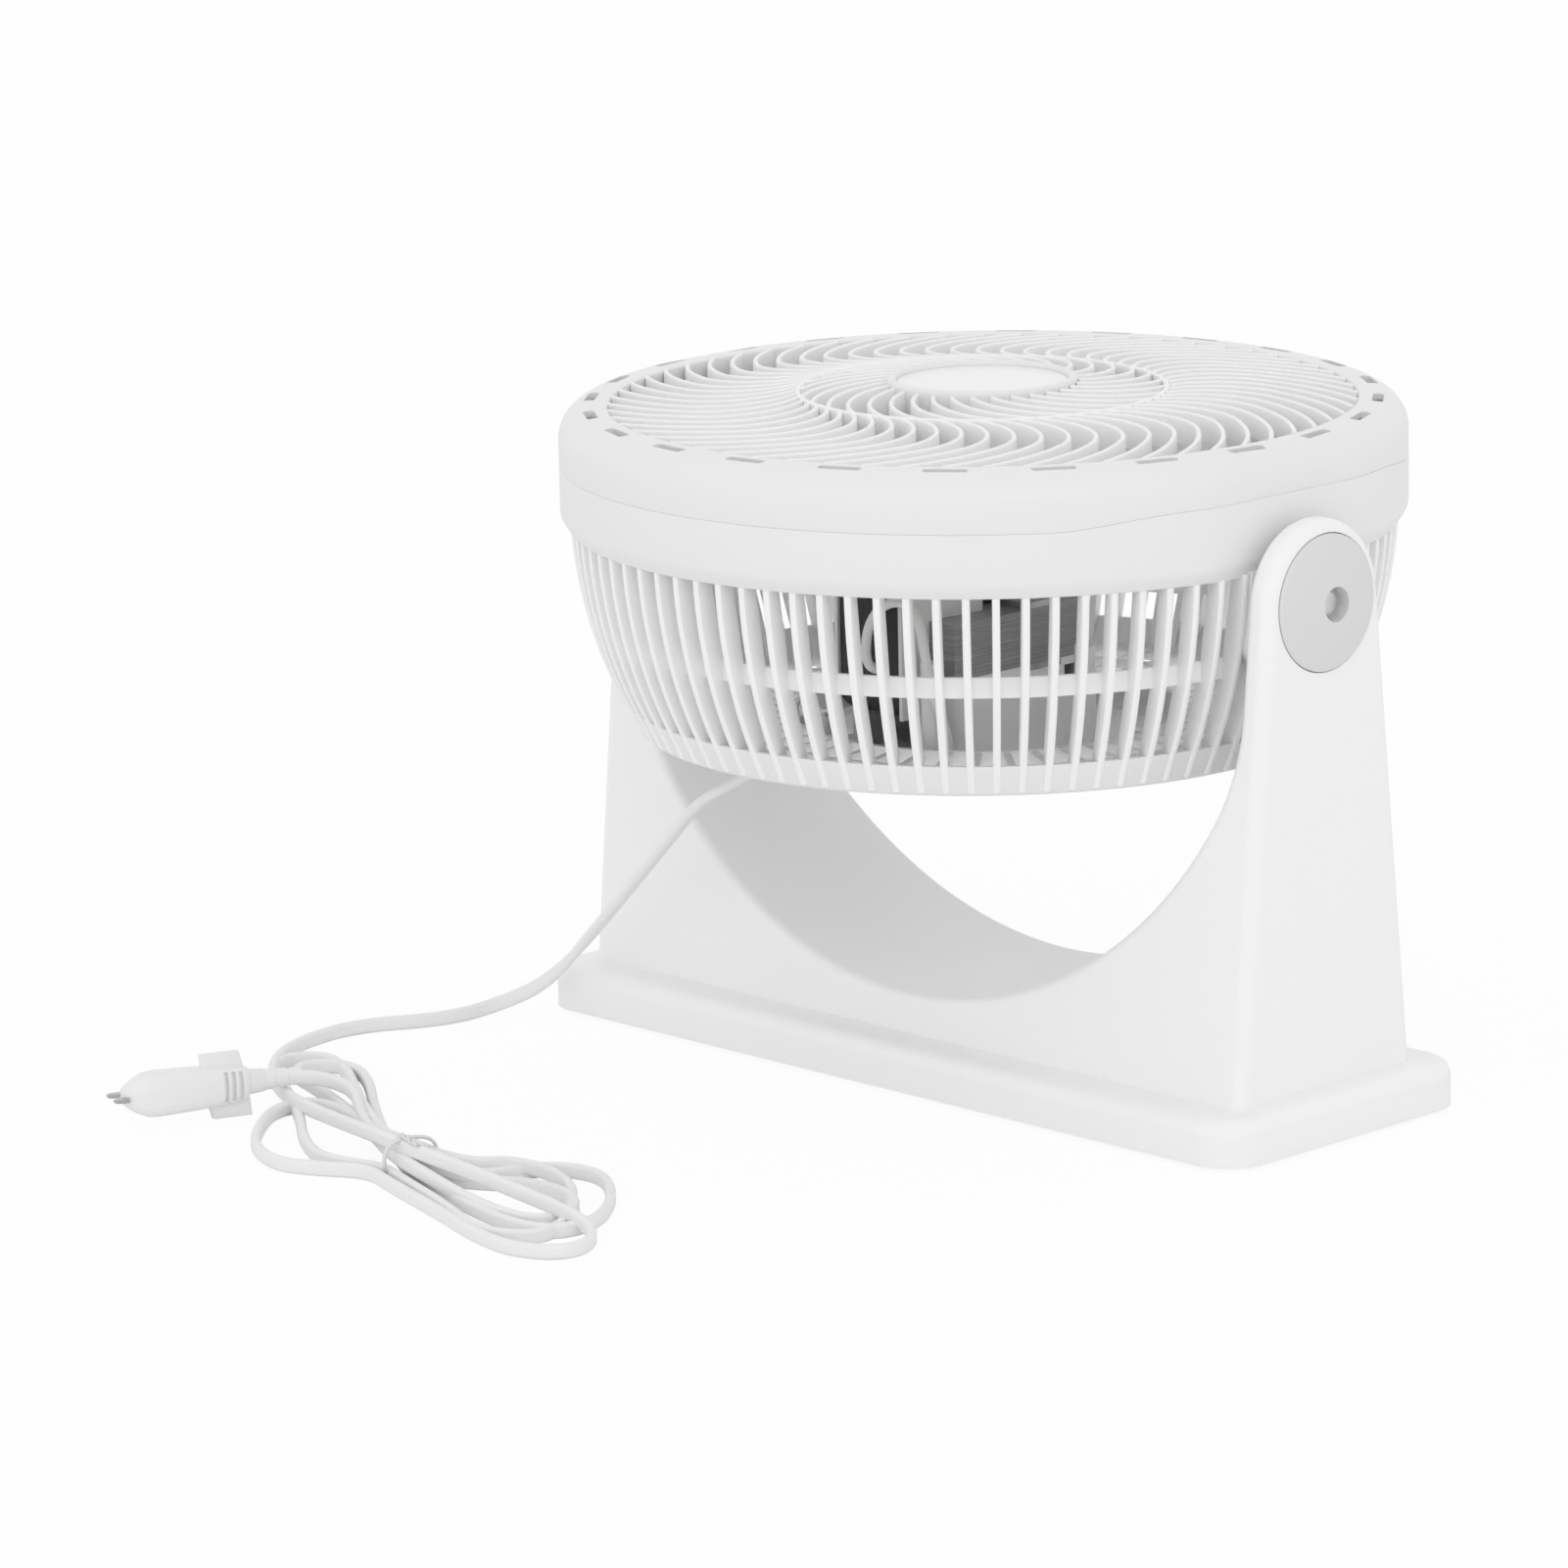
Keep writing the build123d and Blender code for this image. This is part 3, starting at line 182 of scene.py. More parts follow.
@cache
def moulded_grain() -> bpy.types.NodeTree:
    """The surface of moulded plastic: faint clouds in the colour, fine grain in the height.

    Returns:
        The shader group, built once.
    """
    graph, given, out = new_group(
        "MouldedGrain", "ShaderNodeTree",
        [("Colour", "Color"), ("Cloud", "Float", 0.02), ("Grain Scale", "Float", 900.0),
         ("Roughness", "Float", 0.4), ("Roughness Spread", "Float", 0.08)], SURFACE_OUTPUTS)
    take, place_on = given.outputs, graph.add("ShaderNodeTexCoord").outputs["Object"]
    cloud = graph.add("ShaderNodeTexNoise", {"Vector": place_on, "Scale": 22.0, "Detail": 3.0}).outputs["Fac"]
    grain = graph.add("ShaderNodeTexNoise", {"Vector": place_on, "Scale": take["Grain Scale"], "Detail": 2.0})
    shade = graph.math("MULTIPLY", cloud, take["Cloud"])
    darker = graph.add("ShaderNodeMix", {"Factor": shade, "A": take["Colour"], "B": (0.72, 0.73, 0.76, 1)},
                       data_type="RGBA", blend_type="MULTIPLY")
    rough = graph.math("MULTIPLY_ADD", cloud, take["Roughness Spread"], take["Roughness"])
    graph.feed(out, {"Colour": darker.outputs["Result"], "Roughness": rough, "Height": grain.outputs["Fac"]})
    return graph.tree


@cache
def brushed_lines() -> bpy.types.NodeTree:
    """Fine lines drawn along one direction, for rolled or stacked sheet metal.

    Returns:
        The shader group, built once.
    """
    graph, given, out = new_group(
        "BrushedLines", "ShaderNodeTree",
        [("Light Colour", "Color"), ("Dark Colour", "Color"), ("Stretch", "Vector", (40.0, 40.0, 2500.0)),
         ("Roughness", "Float", 0.35)], SURFACE_OUTPUTS)
    take, place_on = given.outputs, graph.add("ShaderNodeTexCoord").outputs["Object"]
    drawn = graph.add("ShaderNodeVectorMath", {0: place_on, 1: take["Stretch"]}, operation="MULTIPLY")
    lines = graph.add("ShaderNodeTexNoise", {"Vector": drawn.outputs[0], "Scale": 1.0, "Detail": 4.0}).outputs["Fac"]
    tone = graph.add("ShaderNodeMix", {"Factor": lines, "A": take["Dark Colour"], "B": take["Light Colour"]},
                     data_type="RGBA")
    rough = graph.math("MULTIPLY_ADD", lines, 0.18, take["Roughness"])
    graph.feed(out, {"Colour": tone.outputs["Result"], "Roughness": rough, "Height": lines})
    return graph.tree


# ---------------------------------------------------------------- finishes
def surfaced(name: str, group: bpy.types.NodeTree, values: dict, own: dict, depth: float) -> bpy.types.Material:
    """A material whose colour, roughness and relief come from a shader group.

    Args:
        name: of the material.
        group: the shader group.
        values: the group's inputs.
        own: further inputs of the Principled shader.
        depth: the height of the relief, in metres.

    Returns:
        The material.
    """
    material = bpy.data.materials.new(name)
    material.use_nodes = True
    graph = Graph(material.node_tree)
    surface = graph.add("ShaderNodeGroup", values, node_tree=group).outputs
    bump = graph.add("ShaderNodeBump", {"Strength": BUMP_STRENGTH, "Distance": depth, "Height": surface["Height"]})
    graph.feed(material.node_tree.nodes["Principled BSDF"], {
        "Base Color": surface["Colour"], "Roughness": surface["Roughness"], "Normal": bump.outputs["Normal"], **own})
    return material


@dataclass(frozen=True)
class Moulded:
    """A plastic, rubber or vinyl finish."""

    name: str
    colour: Point
    roughness: float = 0.42
    cloud: float = 0.05
    grain: float = 900.0
    depth: float = 0.00004
    coat: float = 0.0

    @cache
    def make(self) -> bpy.types.Material:
        """The Blender material of this finish.

        Returns:
            The material.
        """
        values = {"Colour": (*self.colour, 1), "Cloud": self.cloud, "Grain Scale": self.grain,
                  "Roughness": self.roughness - 0.04}
        return surfaced(self.name, moulded_grain(), values, {"IOR": IOR_PLASTIC, "Coat Weight": self.coat}, self.depth)


@dataclass(frozen=True)
class Metal:
    """A metal finish with fine lines along one direction."""

    name: str
    light: Point
    dark: Point
    roughness: float = 0.3
    stretch: Point = (300.0, 300.0, 300.0)
    depth: float = 0.00003
    metallic: float = 1.0

    @cache
    def make(self) -> bpy.types.Material:
        """The Blender material of this finish.

        Returns:
            The material.
        """
        values = {"Light Colour": (*self.light, 1), "Dark Colour": (*self.dark, 1), "Stretch": self.stretch,
                  "Roughness": self.roughness}
        return surfaced(self.name, brushed_lines(), values, {"Metallic": self.metallic}, self.depth)


@dataclass(frozen=True)
class Packed:
    """A plain finish that the frame brings along, used as it is."""

    name: str

    def make(self) -> bpy.types.Material:
        """The frame's own material."""
        return bpy.data.materials[self.name]


Finish = Moulded | Metal | Packed

FINISHES: dict[Slot, Finish] = {
    Slot.SHELL: Moulded("satin_white_shell", (0.86, 0.86, 0.86)),
    Slot.CAP: Moulded("pivot_cap_white", (0.74, 0.74, 0.745), 0.45),
    Slot.BADGE: Moulded("bare_badge_disc", (0.91, 0.91, 0.91), 0.3, 0.04, 500.0, 0.00002, 0.2),
    Slot.BLADE: Moulded("blade_white", (0.84, 0.84, 0.84), 0.35),
    Slot.RUBBER: Packed("foot_rubber"),
    Slot.SCREW: Metal("zinc_screw", (0.86, 0.86, 0.87), (0.55, 0.55, 0.57), 0.22),
    Slot.CORE: Metal("laminated_core", (0.62, 0.62, 0.63), (0.20, 0.20, 0.21), 0.5, (30.0, 30.0, 1500.0), 0.00012, 0.3),
    Slot.BRACKET: Metal("pressed_bracket", (0.62, 0.62, 0.63), (0.34, 0.34, 0.36), 0.38, (200.0, 200.0, 200.0)),
    Slot.BEARING: Metal("sintered_bearing", (0.62, 0.48, 0.28), (0.38, 0.28, 0.16), 0.5, (900.0, 900.0, 900.0)),
    Slot.TAPE: Packed("coil_tape"),
    Slot.BOBBIN: Packed("bobbin_plastic"),
    Slot.CARRIER: Moulded("carrier_white", (0.93, 0.93, 0.925), 0.5, 0.08),
    Slot.SWITCH: Moulded("switch_black", (0.03, 0.03, 0.03), 0.4, 0.2),
    Slot.SLEEVE: Moulded("lead_sleeve", (0.9, 0.9, 0.88), 0.5, 0.15, 500.0, 0.0001),
    Slot.VINYL: Packed("cord_vinyl"),
    Slot.TIE: Moulded("tie_coating", (0.78, 0.78, 0.78), 0.3, 0.1, 700.0, 0.00006),
    Slot.PIN: Packed("pin_metal"),
}

# painted light: the stand and the thin lattice get a lighter copy of the shell white than the ring and the band, to
# brighten their shaded places
PAINTED_LIGHT_WHITE = Moulded("bright_white_shell", (0.95, 0.95, 0.95))
PAINTED_LIGHT_PIECES = ("outer_vanes", "inner_vanes", "grille_mid_ring", "cage_ribs", "cage_support_ring", "back_slats",
                  "back_ring", "stand_shell", "base_cover")


def paint(piece: Piece, slot: Slot) -> Finish:
    """Gives a piece the one material of its slot, or the lighter white that paints light onto shaded pieces.

    Args:
        piece: the object.
        slot: its material slot.

    Returns:
        The finish it took.
    """
    # the lighter white on the listed pieces is painted light, the same plastic as the shell
    finish = PAINTED_LIGHT_WHITE if piece.name in PAINTED_LIGHT_PIECES else FINISHES[slot]
    piece.data.materials.clear()
    piece.data.materials.append(finish.make())
    return finish


# ---------------------------------------------------------------- shapes
class Shell:
    """Points and faces of a piece while it is drawn, in millimetres."""

    def __init__(self, points: Iterable[Sequence[float]] = (), faces: Iterable[Sequence[int]] = ()) -> None:
        """Starts with what is given."""
        self.points = [Vector(p) for p in points]
        self.faces = [tuple(f) for f in faces]

    def join(self, other: "Shell") -> None:
        """Adds all of another shell.

        Args:
            other: the shell, which stays as it is.
        """
        start = len(self.points)
        self.points += other.points
        self.faces += [tuple(start + i for i in face) for face in other.faces]

    def moved(self, matrix: Matrix) -> "Shell":
        """A copy of this shell under a transform."""
        return Shell([matrix @ p for p in self.points], self.faces)

    def make(self, name: str, slot: Slot, sharp: float, bevel: float = 0.0) -> Piece:
        """Makes the Blender object, with its doubles merged and its faces outwards.

        Args:
            name: the piece's name.
            slot: its material slot.
            sharp: the angle in degrees past which an edge stays sharp.
            bevel: the width of the rounding on its sharp edges.

        Returns:
            The object at the origin.
        """
        mesh = bpy.data.meshes.new(name)
        mesh.from_pydata([p * MM for p in self.points], [], self.faces)
        work = bmesh.new()
        work.from_mesh(mesh)
        bmesh.ops.remove_doubles(work, verts=work.verts, dist=0.01 * MM)
        bmesh.ops.recalc_face_normals(work, faces=work.faces)
        if bevel:
            edges = [e for e in work.edges if len(e.link_faces) == 2 and e.calc_face_angle(0) > math.radians(sharp)]
            bmesh.ops.bevel(work, geom=edges, offset=bevel * MM, segments=2, profile=0.5, affect="EDGES",
                            clamp_overlap=True)
        work.to_mesh(mesh)
        work.free()
        piece = bpy.data.objects.new(name, mesh)
        bpy.context.scene.collection.objects.link(piece)
        return dress(piece, slot, sharp)


def dress(piece: Piece, slot: Slot, sharp: float = 32.0) -> Piece:
    """Gives a piece its material and smooth shading.

    Args:
        piece: the object.
        slot: its material slot.
        sharp: the angle in degrees past which an edge stays sharp.

    Returns:
        The same object.
    """
    paint(piece, slot)
    piece.data.polygons.foreach_set("use_smooth", [True] * len(piece.data.polygons))
    piece.data.set_sharp_from_angle(angle=math.radians(sharp))
    return piece


def place(piece: Piece, body: Body, *nodes: str) -> Piece:
    """Lets a piece ride on its body and stand for CAD nodes.

    Args:
        piece: the object.
        body: what it moves with.
        nodes: the CAD nodes that it stands for.

    Returns:
        The same object.
    """
    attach(piece, body.value)
    if nodes:
        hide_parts(*nodes)
    return piece


def keep_shape(piece: Piece) -> None:
    """Makes what a piece's modifiers show its own plain mesh.

    Args:
        piece: the object, which ends without modifiers.
    """
    mesh = bpy.data.meshes.new_from_object(piece.evaluated_get(bpy.context.evaluated_depsgraph_get()))
    piece.modifiers.clear()
    piece.data = mesh


def skinned(rings: Sequence[Sequence[Sequence[float]]], closed: bool = False) -> Shell:
    """A skin over a row of rings that have the same number of points.

    Args:
        rings: the rings in order.
        closed: joins the last ring to the first, in place of a face on each end.

    Returns:
        The shell.
    """
    size, count = len(rings[0]), len(rings)
    faces = []
    for i in range(count if closed else count - 1):
        a, b = i * size, (i + 1) % count * size
        faces += [(a + j, a + (j + 1) % size, b + (j + 1) % size, b + j) for j in range(size)]
    if not closed:
        faces += [range(size), [(count - 1) * size + j for j in reversed(range(size))]]
    return Shell([p for ring in rings for p in ring], faces)


def flattened(x: float, limit: float) -> float:
    """Cuts a round wall back to a flat beside the arms, with an eased corner.

    Args:
        x: of a point of the round wall.
        limit: the flat's distance from the middle.

    Returns:
        Its x on the flattened wall.
    """
    size = abs(x)
    if size > limit + FLAT_EASE:
        size = limit
    elif size > limit - FLAT_EASE:
        size -= (size - limit + FLAT_EASE) ** 2 / (4 * FLAT_EASE)
    return math.copysign(size, x)


def turned(profile: Sequence[Flat], count: int, flat: Callable[[float, float], float] | None = None,
           lift: float = TILT_AXIS_Z) -> Shell:
    """A closed outline turned about the Z axis.

    Args:
        profile: its (radius, height) points.
        count: how many copies of the outline go round.
        flat: gives x from the round x and the radius, for a wall with side flats.
        lift: added to each height.

    Returns:
        The shell.
    """
    rings = []
    for i in range(count):
        c, s = math.cos(TWO_PI * i / count), math.sin(TWO_PI * i / count)
        rings.append([(flat(r * c, r) if flat else r * c, r * s, h + lift) for r, h in profile])
    return skinned(rings, closed=True)


def arc(centre: Flat, radius: float, start: float, end: float, count: int) -> list[Flat]:
    """Points on an arc in a plane.

    Args:
        centre: its middle.
        radius: its radius.
        start: the first direction in degrees.
        end: the last direction in degrees.
        count: how many steps.

    Returns:
        count + 1 points.
    """
    turns = [math.radians(start + (end - start) * i / count) for i in range(count + 1)]
    return [(centre[0] + radius * math.cos(t), centre[1] + radius * math.sin(t)) for t in turns]


def arc_through(a: Flat, b: Flat, c: Flat, count: int) -> list[Flat]:
    """Points on the arc through three points of a plane.

    Args:
        a: the first point.
        b: a point between.
        c: the last point.
        count: how many steps.

    Returns:
        count + 1 points from a to c.
    """
    d = 2 * (a[0] * (b[1] - c[1]) + b[0] * (c[1] - a[1]) + c[0] * (a[1] - b[1]))
    squares = [p[0] ** 2 + p[1] ** 2 for p in (a, b, c)]
    x = (squares[0] * (b[1] - c[1]) + squares[1] * (c[1] - a[1]) + squares[2] * (a[1] - b[1])) / d
    y = (squares[0] * (c[0] - b[0]) + squares[1] * (a[0] - c[0]) + squares[2] * (b[0] - a[0])) / d
    start, end = (math.degrees(math.atan2(p[1] - y, p[0] - x)) for p in (a, c))
    return arc((x, y), math.hypot(a[0] - x, a[1] - y), start, end, count)


def eased(value: float) -> float:
    """A value held between 0 and 1, with a soft start and end."""
    t = min(1.0, max(0.0, value))
    return t * t * (3 - 2 * t)


def squared(value: float, power: float) -> float:
    """A sine or cosine raised to a power with its sign kept, for a rounded box in section."""
    return math.copysign(abs(value) ** power, value)


def nurbs_line(name: str, points: Sequence[Point]) -> list[Vector]:
    """The line of an open NURBS spline, read from a curve without a bevel.

    Args:
        name: of the helper curve, which is removed again.
        points: the control points.

    Returns:
        The points of the line.
    """
    curve = bpy.data.curves.new(name, "CURVE")
    curve.dimensions, curve.resolution_u = "3D", 16
    spline = curve.splines.new("NURBS")
    spline.points.add(len(points) - 1)
    for slot, point in zip(spline.points, points):
        slot.co = (*point, 1)
    spline.order_u, spline.use_endpoint_u = 3, True
    helper = bpy.data.objects.new(name, curve)
    mesh = bpy.data.meshes.new_from_object(helper)
    line = [v.co.copy() for v in mesh.vertices]
    bpy.data.meshes.remove(mesh)
    bpy.data.objects.remove(helper)
    bpy.data.curves.remove(curve)
    return line


def evenly(line: Sequence[Vector], step: float) -> list[Vector]:
    """The same line with evenly spaced points.

    Args:
        line: its points.
        step: about how far apart they come.

    Returns:
        The new points.
    """
    array = np.array([tuple(p) for p in line])
    along = np.concatenate([[0], np.cumsum(np.linalg.norm(np.diff(array, axis=0), axis=1))])
    at = np.linspace(0, along[-1], max(3, round(along[-1] / step)))
    return [Vector(p) for p in np.stack([np.interp(at, along, array[:, k]) for k in range(3)], axis=1)]


def framed(line: Sequence[Vector]) -> list[tuple[Vector, Vector, Vector]]:
    """Each point of a line with its directions, for a tube's rings.

    Args:
        line: the points.

    Returns:
        (point, sideways, upwards) for each.
    """
    rows, up = [], UP
    for i, point in enumerate(line):
        run = (line[min(i + 1, len(line) - 1)] - line[max(i - 1, 0)]).normalized()
        side = run.cross(up)
        if side.length < 0.2:
            side = run.cross(Vector((0.3, 1, 0)))
        side.normalize()
        up_here = side.cross(run).normalized()
        up = (up * 0.85 + up_here * 0.15 + UP * 0.1).normalized()
        rows.append((point, side, up_here))
    return rows


def oval(middle: Vector, side: Vector, up: Vector, wide: float, high: float, count: int) -> list[Vector]:
    """One ring of an oval tube.

    Args:
        middle: its centre.
        side: the sideways direction.
        up: the upward direction.
        wide: half its width.
        high: half its height.
        count: how many points.

    Returns:
        The ring's points.
    """
    turns = [TWO_PI * i / count for i in range(count)]
    return [middle + side * (wide * math.cos(t)) + up * (high * math.sin(t)) for t in turns]


# ---------------------------------------------------------------- geometry nodes
def repeat_tree(name: str, *inputs: tuple[str, str]) -> tuple[Graph, bpy.types.Node, bpy.types.Node, bpy.types.Node]:
    """A geometry node group that will put copies of a shape on points.

    Args:
        name: of the group.
        inputs: (name, socket type) of its inputs besides Geometry, Count and Material.

    Returns:
        Its graph, its input node, its output node and the points.
    """
    graph, given, out = new_group(name, "GeometryNodeTree", [("Geometry", "Geometry"), ("Count", "Int"), *inputs,
                                                            ("Material", "Material")], [("Geometry", "Geometry")])
    return graph, given, out, graph.add("GeometryNodePoints", {"Count": given.outputs["Count"]})


def finish_tree(graph: Graph, given: bpy.types.Node, out: bpy.types.Node, sockets: dict) -> bpy.types.NodeTree:
    """Puts the shape on the points and ends in Realize Instances and Set Material.

    Args:
        graph: the tree being built.
        given: its input node.
        out: its output node.
        sockets: the points, and the rotation where there is one.

    Returns:
        The tree.
    """
    copies = graph.add("GeometryNodeInstanceOnPoints", {"Instance": given.outputs["Geometry"], **sockets})
    real = graph.add("GeometryNodeRealizeInstances", {"Geometry": copies.outputs["Instances"]})
    coat = graph.add("GeometryNodeSetMaterial", {"Geometry": real.outputs["Geometry"],
                                                 "Material": given.outputs["Material"]})
    graph.feed(out, {"Geometry": coat.outputs["Geometry"]})
    return graph.tree


@cache
def ring_array() -> bpy.types.NodeTree:
    """Copies of a shape turned about the Z axis: slats, ribs and vanes.

    Returns:
        The tree, with inputs Count, Phase and Material.
    """
    graph, given, out, spots = repeat_tree("RingArray", ("Phase", "Float"))
    number = graph.add("GeometryNodeInputIndex").outputs["Index"]
    step = graph.math("DIVIDE", TWO_PI, given.outputs["Count"])
    turn = graph.add("ShaderNodeCombineXYZ", {"Z": graph.math("MULTIPLY_ADD", number, step, given.outputs["Phase"])})
    return finish_tree(graph, given, out, {"Points": spots.outputs[0], "Rotation": turn.outputs[0]})


@cache
def sheet_stack() -> bpy.types.NodeTree:
    """A pile of thin sheets along Z, each a hair out of line.

    Returns:
        The tree, with inputs Count, Pitch, Play, Seed and Material.
    """
    graph, given, out, spots = repeat_tree("SheetStack", ("Pitch", "Float"), ("Play", "Float"), ("Seed", "Int"))
    number, play = graph.add("GeometryNodeInputIndex").outputs["Index"], given.outputs["Play"]
    at = {"Z": graph.math("MULTIPLY", number, given.outputs["Pitch"])}
    least = graph.math("MULTIPLY", play, -1.0)
    for axis, offset in (("X", 0), ("Y", 7)):
        seed = graph.math("ADD", given.outputs["Seed"], offset)
        at[axis] = graph.add("FunctionNodeRandomValue", {"Seed": seed, 2: least, 3: play}).outputs[1]
    spot = graph.add("ShaderNodeCombineXYZ", at)
    moved = graph.add("GeometryNodeSetPosition", {"Geometry": spots.outputs[0], "Position": spot.outputs[0]})
    return finish_tree(graph, given, out, {"Points": moved.outputs["Geometry"]})


def run_tree(piece: Piece, tree: bpy.types.NodeTree, slot: Slot, values: dict[str, object]) -> Piece:
    """Runs a geometry node tree on a piece and keeps the result as its plain mesh.

    Args:
        piece: the object, dressed already.
        tree: the node group.
        slot: the piece's material slot.
        values: the inputs by name; Material is the piece's own.

    Returns:
        The same object, with no modifier.
    """
    modifier = piece.modifiers.new(tree.name, "NODES")
    modifier.node_group = tree
    values = {**values, "Material": piece.data.materials[0]}
    for socket in tree.interface.items_tree:
        if socket.in_out == "INPUT" and socket.name in values:
            modifier[socket.identifier] = values[socket.name]
    keep_shape(piece)
    return dress(piece, slot)


def around(piece: Piece, count: int, phase: float = 0.0) -> Piece:
    """Copies a shell piece about the Z axis, all turned by a phase in degrees."""
    return run_tree(piece, ring_array(), Slot.SHELL, {"Count": count, "Phase": math.radians(phase)})


# ---------------------------------------------------------------- the cord
@dataclass
class MainsCord:
    """The flat twin cord: down from the head, over the table into its tied hank, and out to the plug."""

    width: float = 5.8
    thickness: float = 3.8
    groove: float = 0.22
    grip_start: Point = (-51.8, -51.8, 123.8)
    grip_radii: Flat = (5.0, 3.4)
    grip_groove: float = 0.55
    # from the grip over the table to the hank
    route: tuple[Point, ...] = (
        (-63.8, -63.8, 113.0), (-71.2, -71.2, 106.7), (-84.5, -71.0, 100.0), (-106.0, -70.5, 78.5),
        (-142.0, -71.5, 42.0), (-170.0, -73.5, 14.0), (-190.5, -86.0, 2.9), (-191.0, -112.0, 2.9),
        (-209.0, -140.0, 2.9), (-207.0, -170.0, 2.9),
    )
    # the loops of the hank in turn, each row from one pass through the tie to the next
    loops: tuple[tuple[Point, ...], ...] = (
        ((-191, -199, 4.0), (-163, -223, 4.6), (-128, -240, 6.5), (-90, -254, 10.3)),
        ((-50, -266, 13.4), (-27, -270, 13.4), (2, -272, 12.5), (28, -272, 9.7), (48, -272, 7.8), (66, -273, 5.2),
         (79, -282, 3.0), (80, -298, 2.9), (63, -307, 2.9), (38, -303, 2.9), (6, -292, 2.9), (-31, -281, 2.9)),
        ((-50, -274, 2.9), (-66, -284, 2.9), (-83, -291, 2.9), (-107, -281, 2.9), (-127, -260, 2.9),
         (-139, -242, 2.9), (-136, -226, 2.9), (-112, -229, 3.3), (-80, -246, 6.5)),
        ((-47, -254, 8.7), (-27, -259, 9.1), (-13, -256, 8.4), (-10, -240, 6.2), (4, -233, 3.7), (24, -241, 2.9),
         (42, -259, 2.9), (58, -279, 2.9), (57, -295, 2.9), (38, -301, 2.9), (8, -288, 2.9), (-28, -276, 2.9)),
        ((-48, -269, 2.9), (-72, -277, 2.9), (-97, -265, 2.9), (-124, -243, 2.9), (-156, -222, 2.9),
         (-182, -208, 2.9), (-192, -192, 2.9), (-181, -180, 2.9), (-160, -188, 2.9), (-132, -208, 3.3),
         (-92, -236, 6.5)),
        ((-49, -260, 8.4), (-25, -267, 8.4), (-8, -259, 5.2), (-8, -240, 3.3), (0, -225, 2.9), (20, -222, 2.9),
         (44, -240, 2.9), (62, -265, 2.9), (58, -286, 2.9), (28, -286, 2.9), (-25, -270, 2.9)),
        ((-44, -262, 2.9), (-78, -241, 2.9), (-112, -217, 2.9), (-138, -196, 2.9), (-158, -184, 2.9),
         (-176, -187, 2.9), (-176, -204, 2.9), (-150, -212, 2.9), (-92, -236, 2.9)),
        ((-42, -257, 2.9), (-22, -264, 2.9), (-6, -256, 2.9), (8, -247, 2.9), (30, -247, 2.9), (48, -262, 2.9),
         (46, -280, 2.9), (18, -281, 3.7)),
        ((-26, -273, 8.1), (-46, -266, 8.4), (-72, -252, 7.5), (-98, -236, 6.8), (-121, -218, 9.7)),
    )
    tail: tuple[Point, ...] = ((-142.3, -224.2, 12.5), (-148.5, -240.0, 12.5))
    # the points near the grip and near the table between which the cord passes from the head to the stand
    bend_from: Point = (-66, -66, 111)
    bend_to: Point = (-86, -106, 8)
    # hanging, it turns onto its edge from this x on; lower or further along it lies on its edge
    twist_x: float = -140.0
    twist_over: float = 50.0
    hang_z: float = 3.5
    hang_y: float = -120.0
    tie_place: Point = (-37.0, -265.0, 0.0)
    tie_turn: float = -22.0
    tie_half: float = 10.2
    tie_z: Flat = (0.8, 16.4)
    tie_ends: tuple[Point, ...] = ((-2, -3.4, 16.6), (1, -3, 17.5), (5, -2.6, 17.4), (9, -2.2, 17.1), (13, -1.6, 16.9))
    plug_nose: Point = (-168.7, -291.7, 12.5)
    # rings of the plug: distance from the nose, height, width, and how square (2 is an ellipse)
    plug_front: tuple = ((0.0, 4.0, 6.0, 2.6), (0.5, 6.4, 8.4, 2.6), (2.2, 9.4, 10.6, 2.6), (5.0, 13.0, 12.8, 2.6),
                         (9.0, 16.4, 14.6, 2.9), (13.0, 17.0, 15.0, 3.0), (28.0, 16.0, 14.2, 3.0),
                         (37.6, 14.8, 13.2, 3.0))
    plug_neck: tuple = ((47.8, 13.0, 11.4, 2.7), (48.8, 11.6, 10.2, 2.6), (49.2, 9.6, 8.6, 2.5), (55.4, 8.6, 7.8, 2.4))
    wing_span: Flat = (29.2, 45.8)
    wing_reach: Flat = (6.0, 12.5)
    wing_half: float = 1.8
    wing_back: float = 3.0
    wing_lean: float = 0.18
    pin_length: float = 4.6
    pin_x: float = 4.2
    collar_length: float = 15.0

    @cached_property
    def line(self) -> list[Vector]:
        """The cord's middle line, a point every 2 mm."""
        points = (*self.route, *(p for loop in self.loops for p in loop), *self.tail)
        return evenly(nurbs_line("cord_line", points), 2.0)

    def section(self) -> list[Flat]:
        """The cord's section: two round cores side by side with a shallow groove between.

        Returns:
            Its points in order.
        """
        core = self.thickness / 2
        middle = self.width / 2 - core
        right, left = arc((middle, 0), core, -75, 75, 6), arc((-middle, 0), core, 105, 255, 6)
        return [*right, (0.0, core - self.groove), *left, (0.0, self.groove - core)]

    def flex(self) -> Piece:
        """The cord itself, from the grip to the plug.

        Returns:
            The piece.
        """
        section, rings = self.section(), []
        for p, side, up in framed(self.line):
            hangs = p.z > self.hang_z and p.y > self.hang_y
            turn = math.pi / 2 * (eased((self.twist_x - p.x) / self.twist_over) if hangs else 1.0)
            c, s = math.cos(turn), math.sin(turn)
            broad, narrow = side * c + up * s, up * c - side * s
            rings.append([p + broad * x + narrow * y for x, y in section])
        cord = skinned(rings).make("mains_cord", Slot.VINYL, 60)
        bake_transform(cord)
        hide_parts("cord_lead", "cord_run", "cord_hank", "cord_tail")
        return cord

    def along(self, start: Point, end: Point) -> Matrix:
        """A frame whose Z runs along a line and whose X stays level.

        Args:
            start: its origin.
            end: the point that its Z runs towards.

        Returns:
            The transform from the frame.
        """
        run = (Vector(end) - Vector(start)).normalized()
        side = run.cross(UP).normalized()
        matrix = Matrix((side, run.cross(side), run)).transposed().to_4x4()
        matrix.translation = Vector(start)
        return matrix

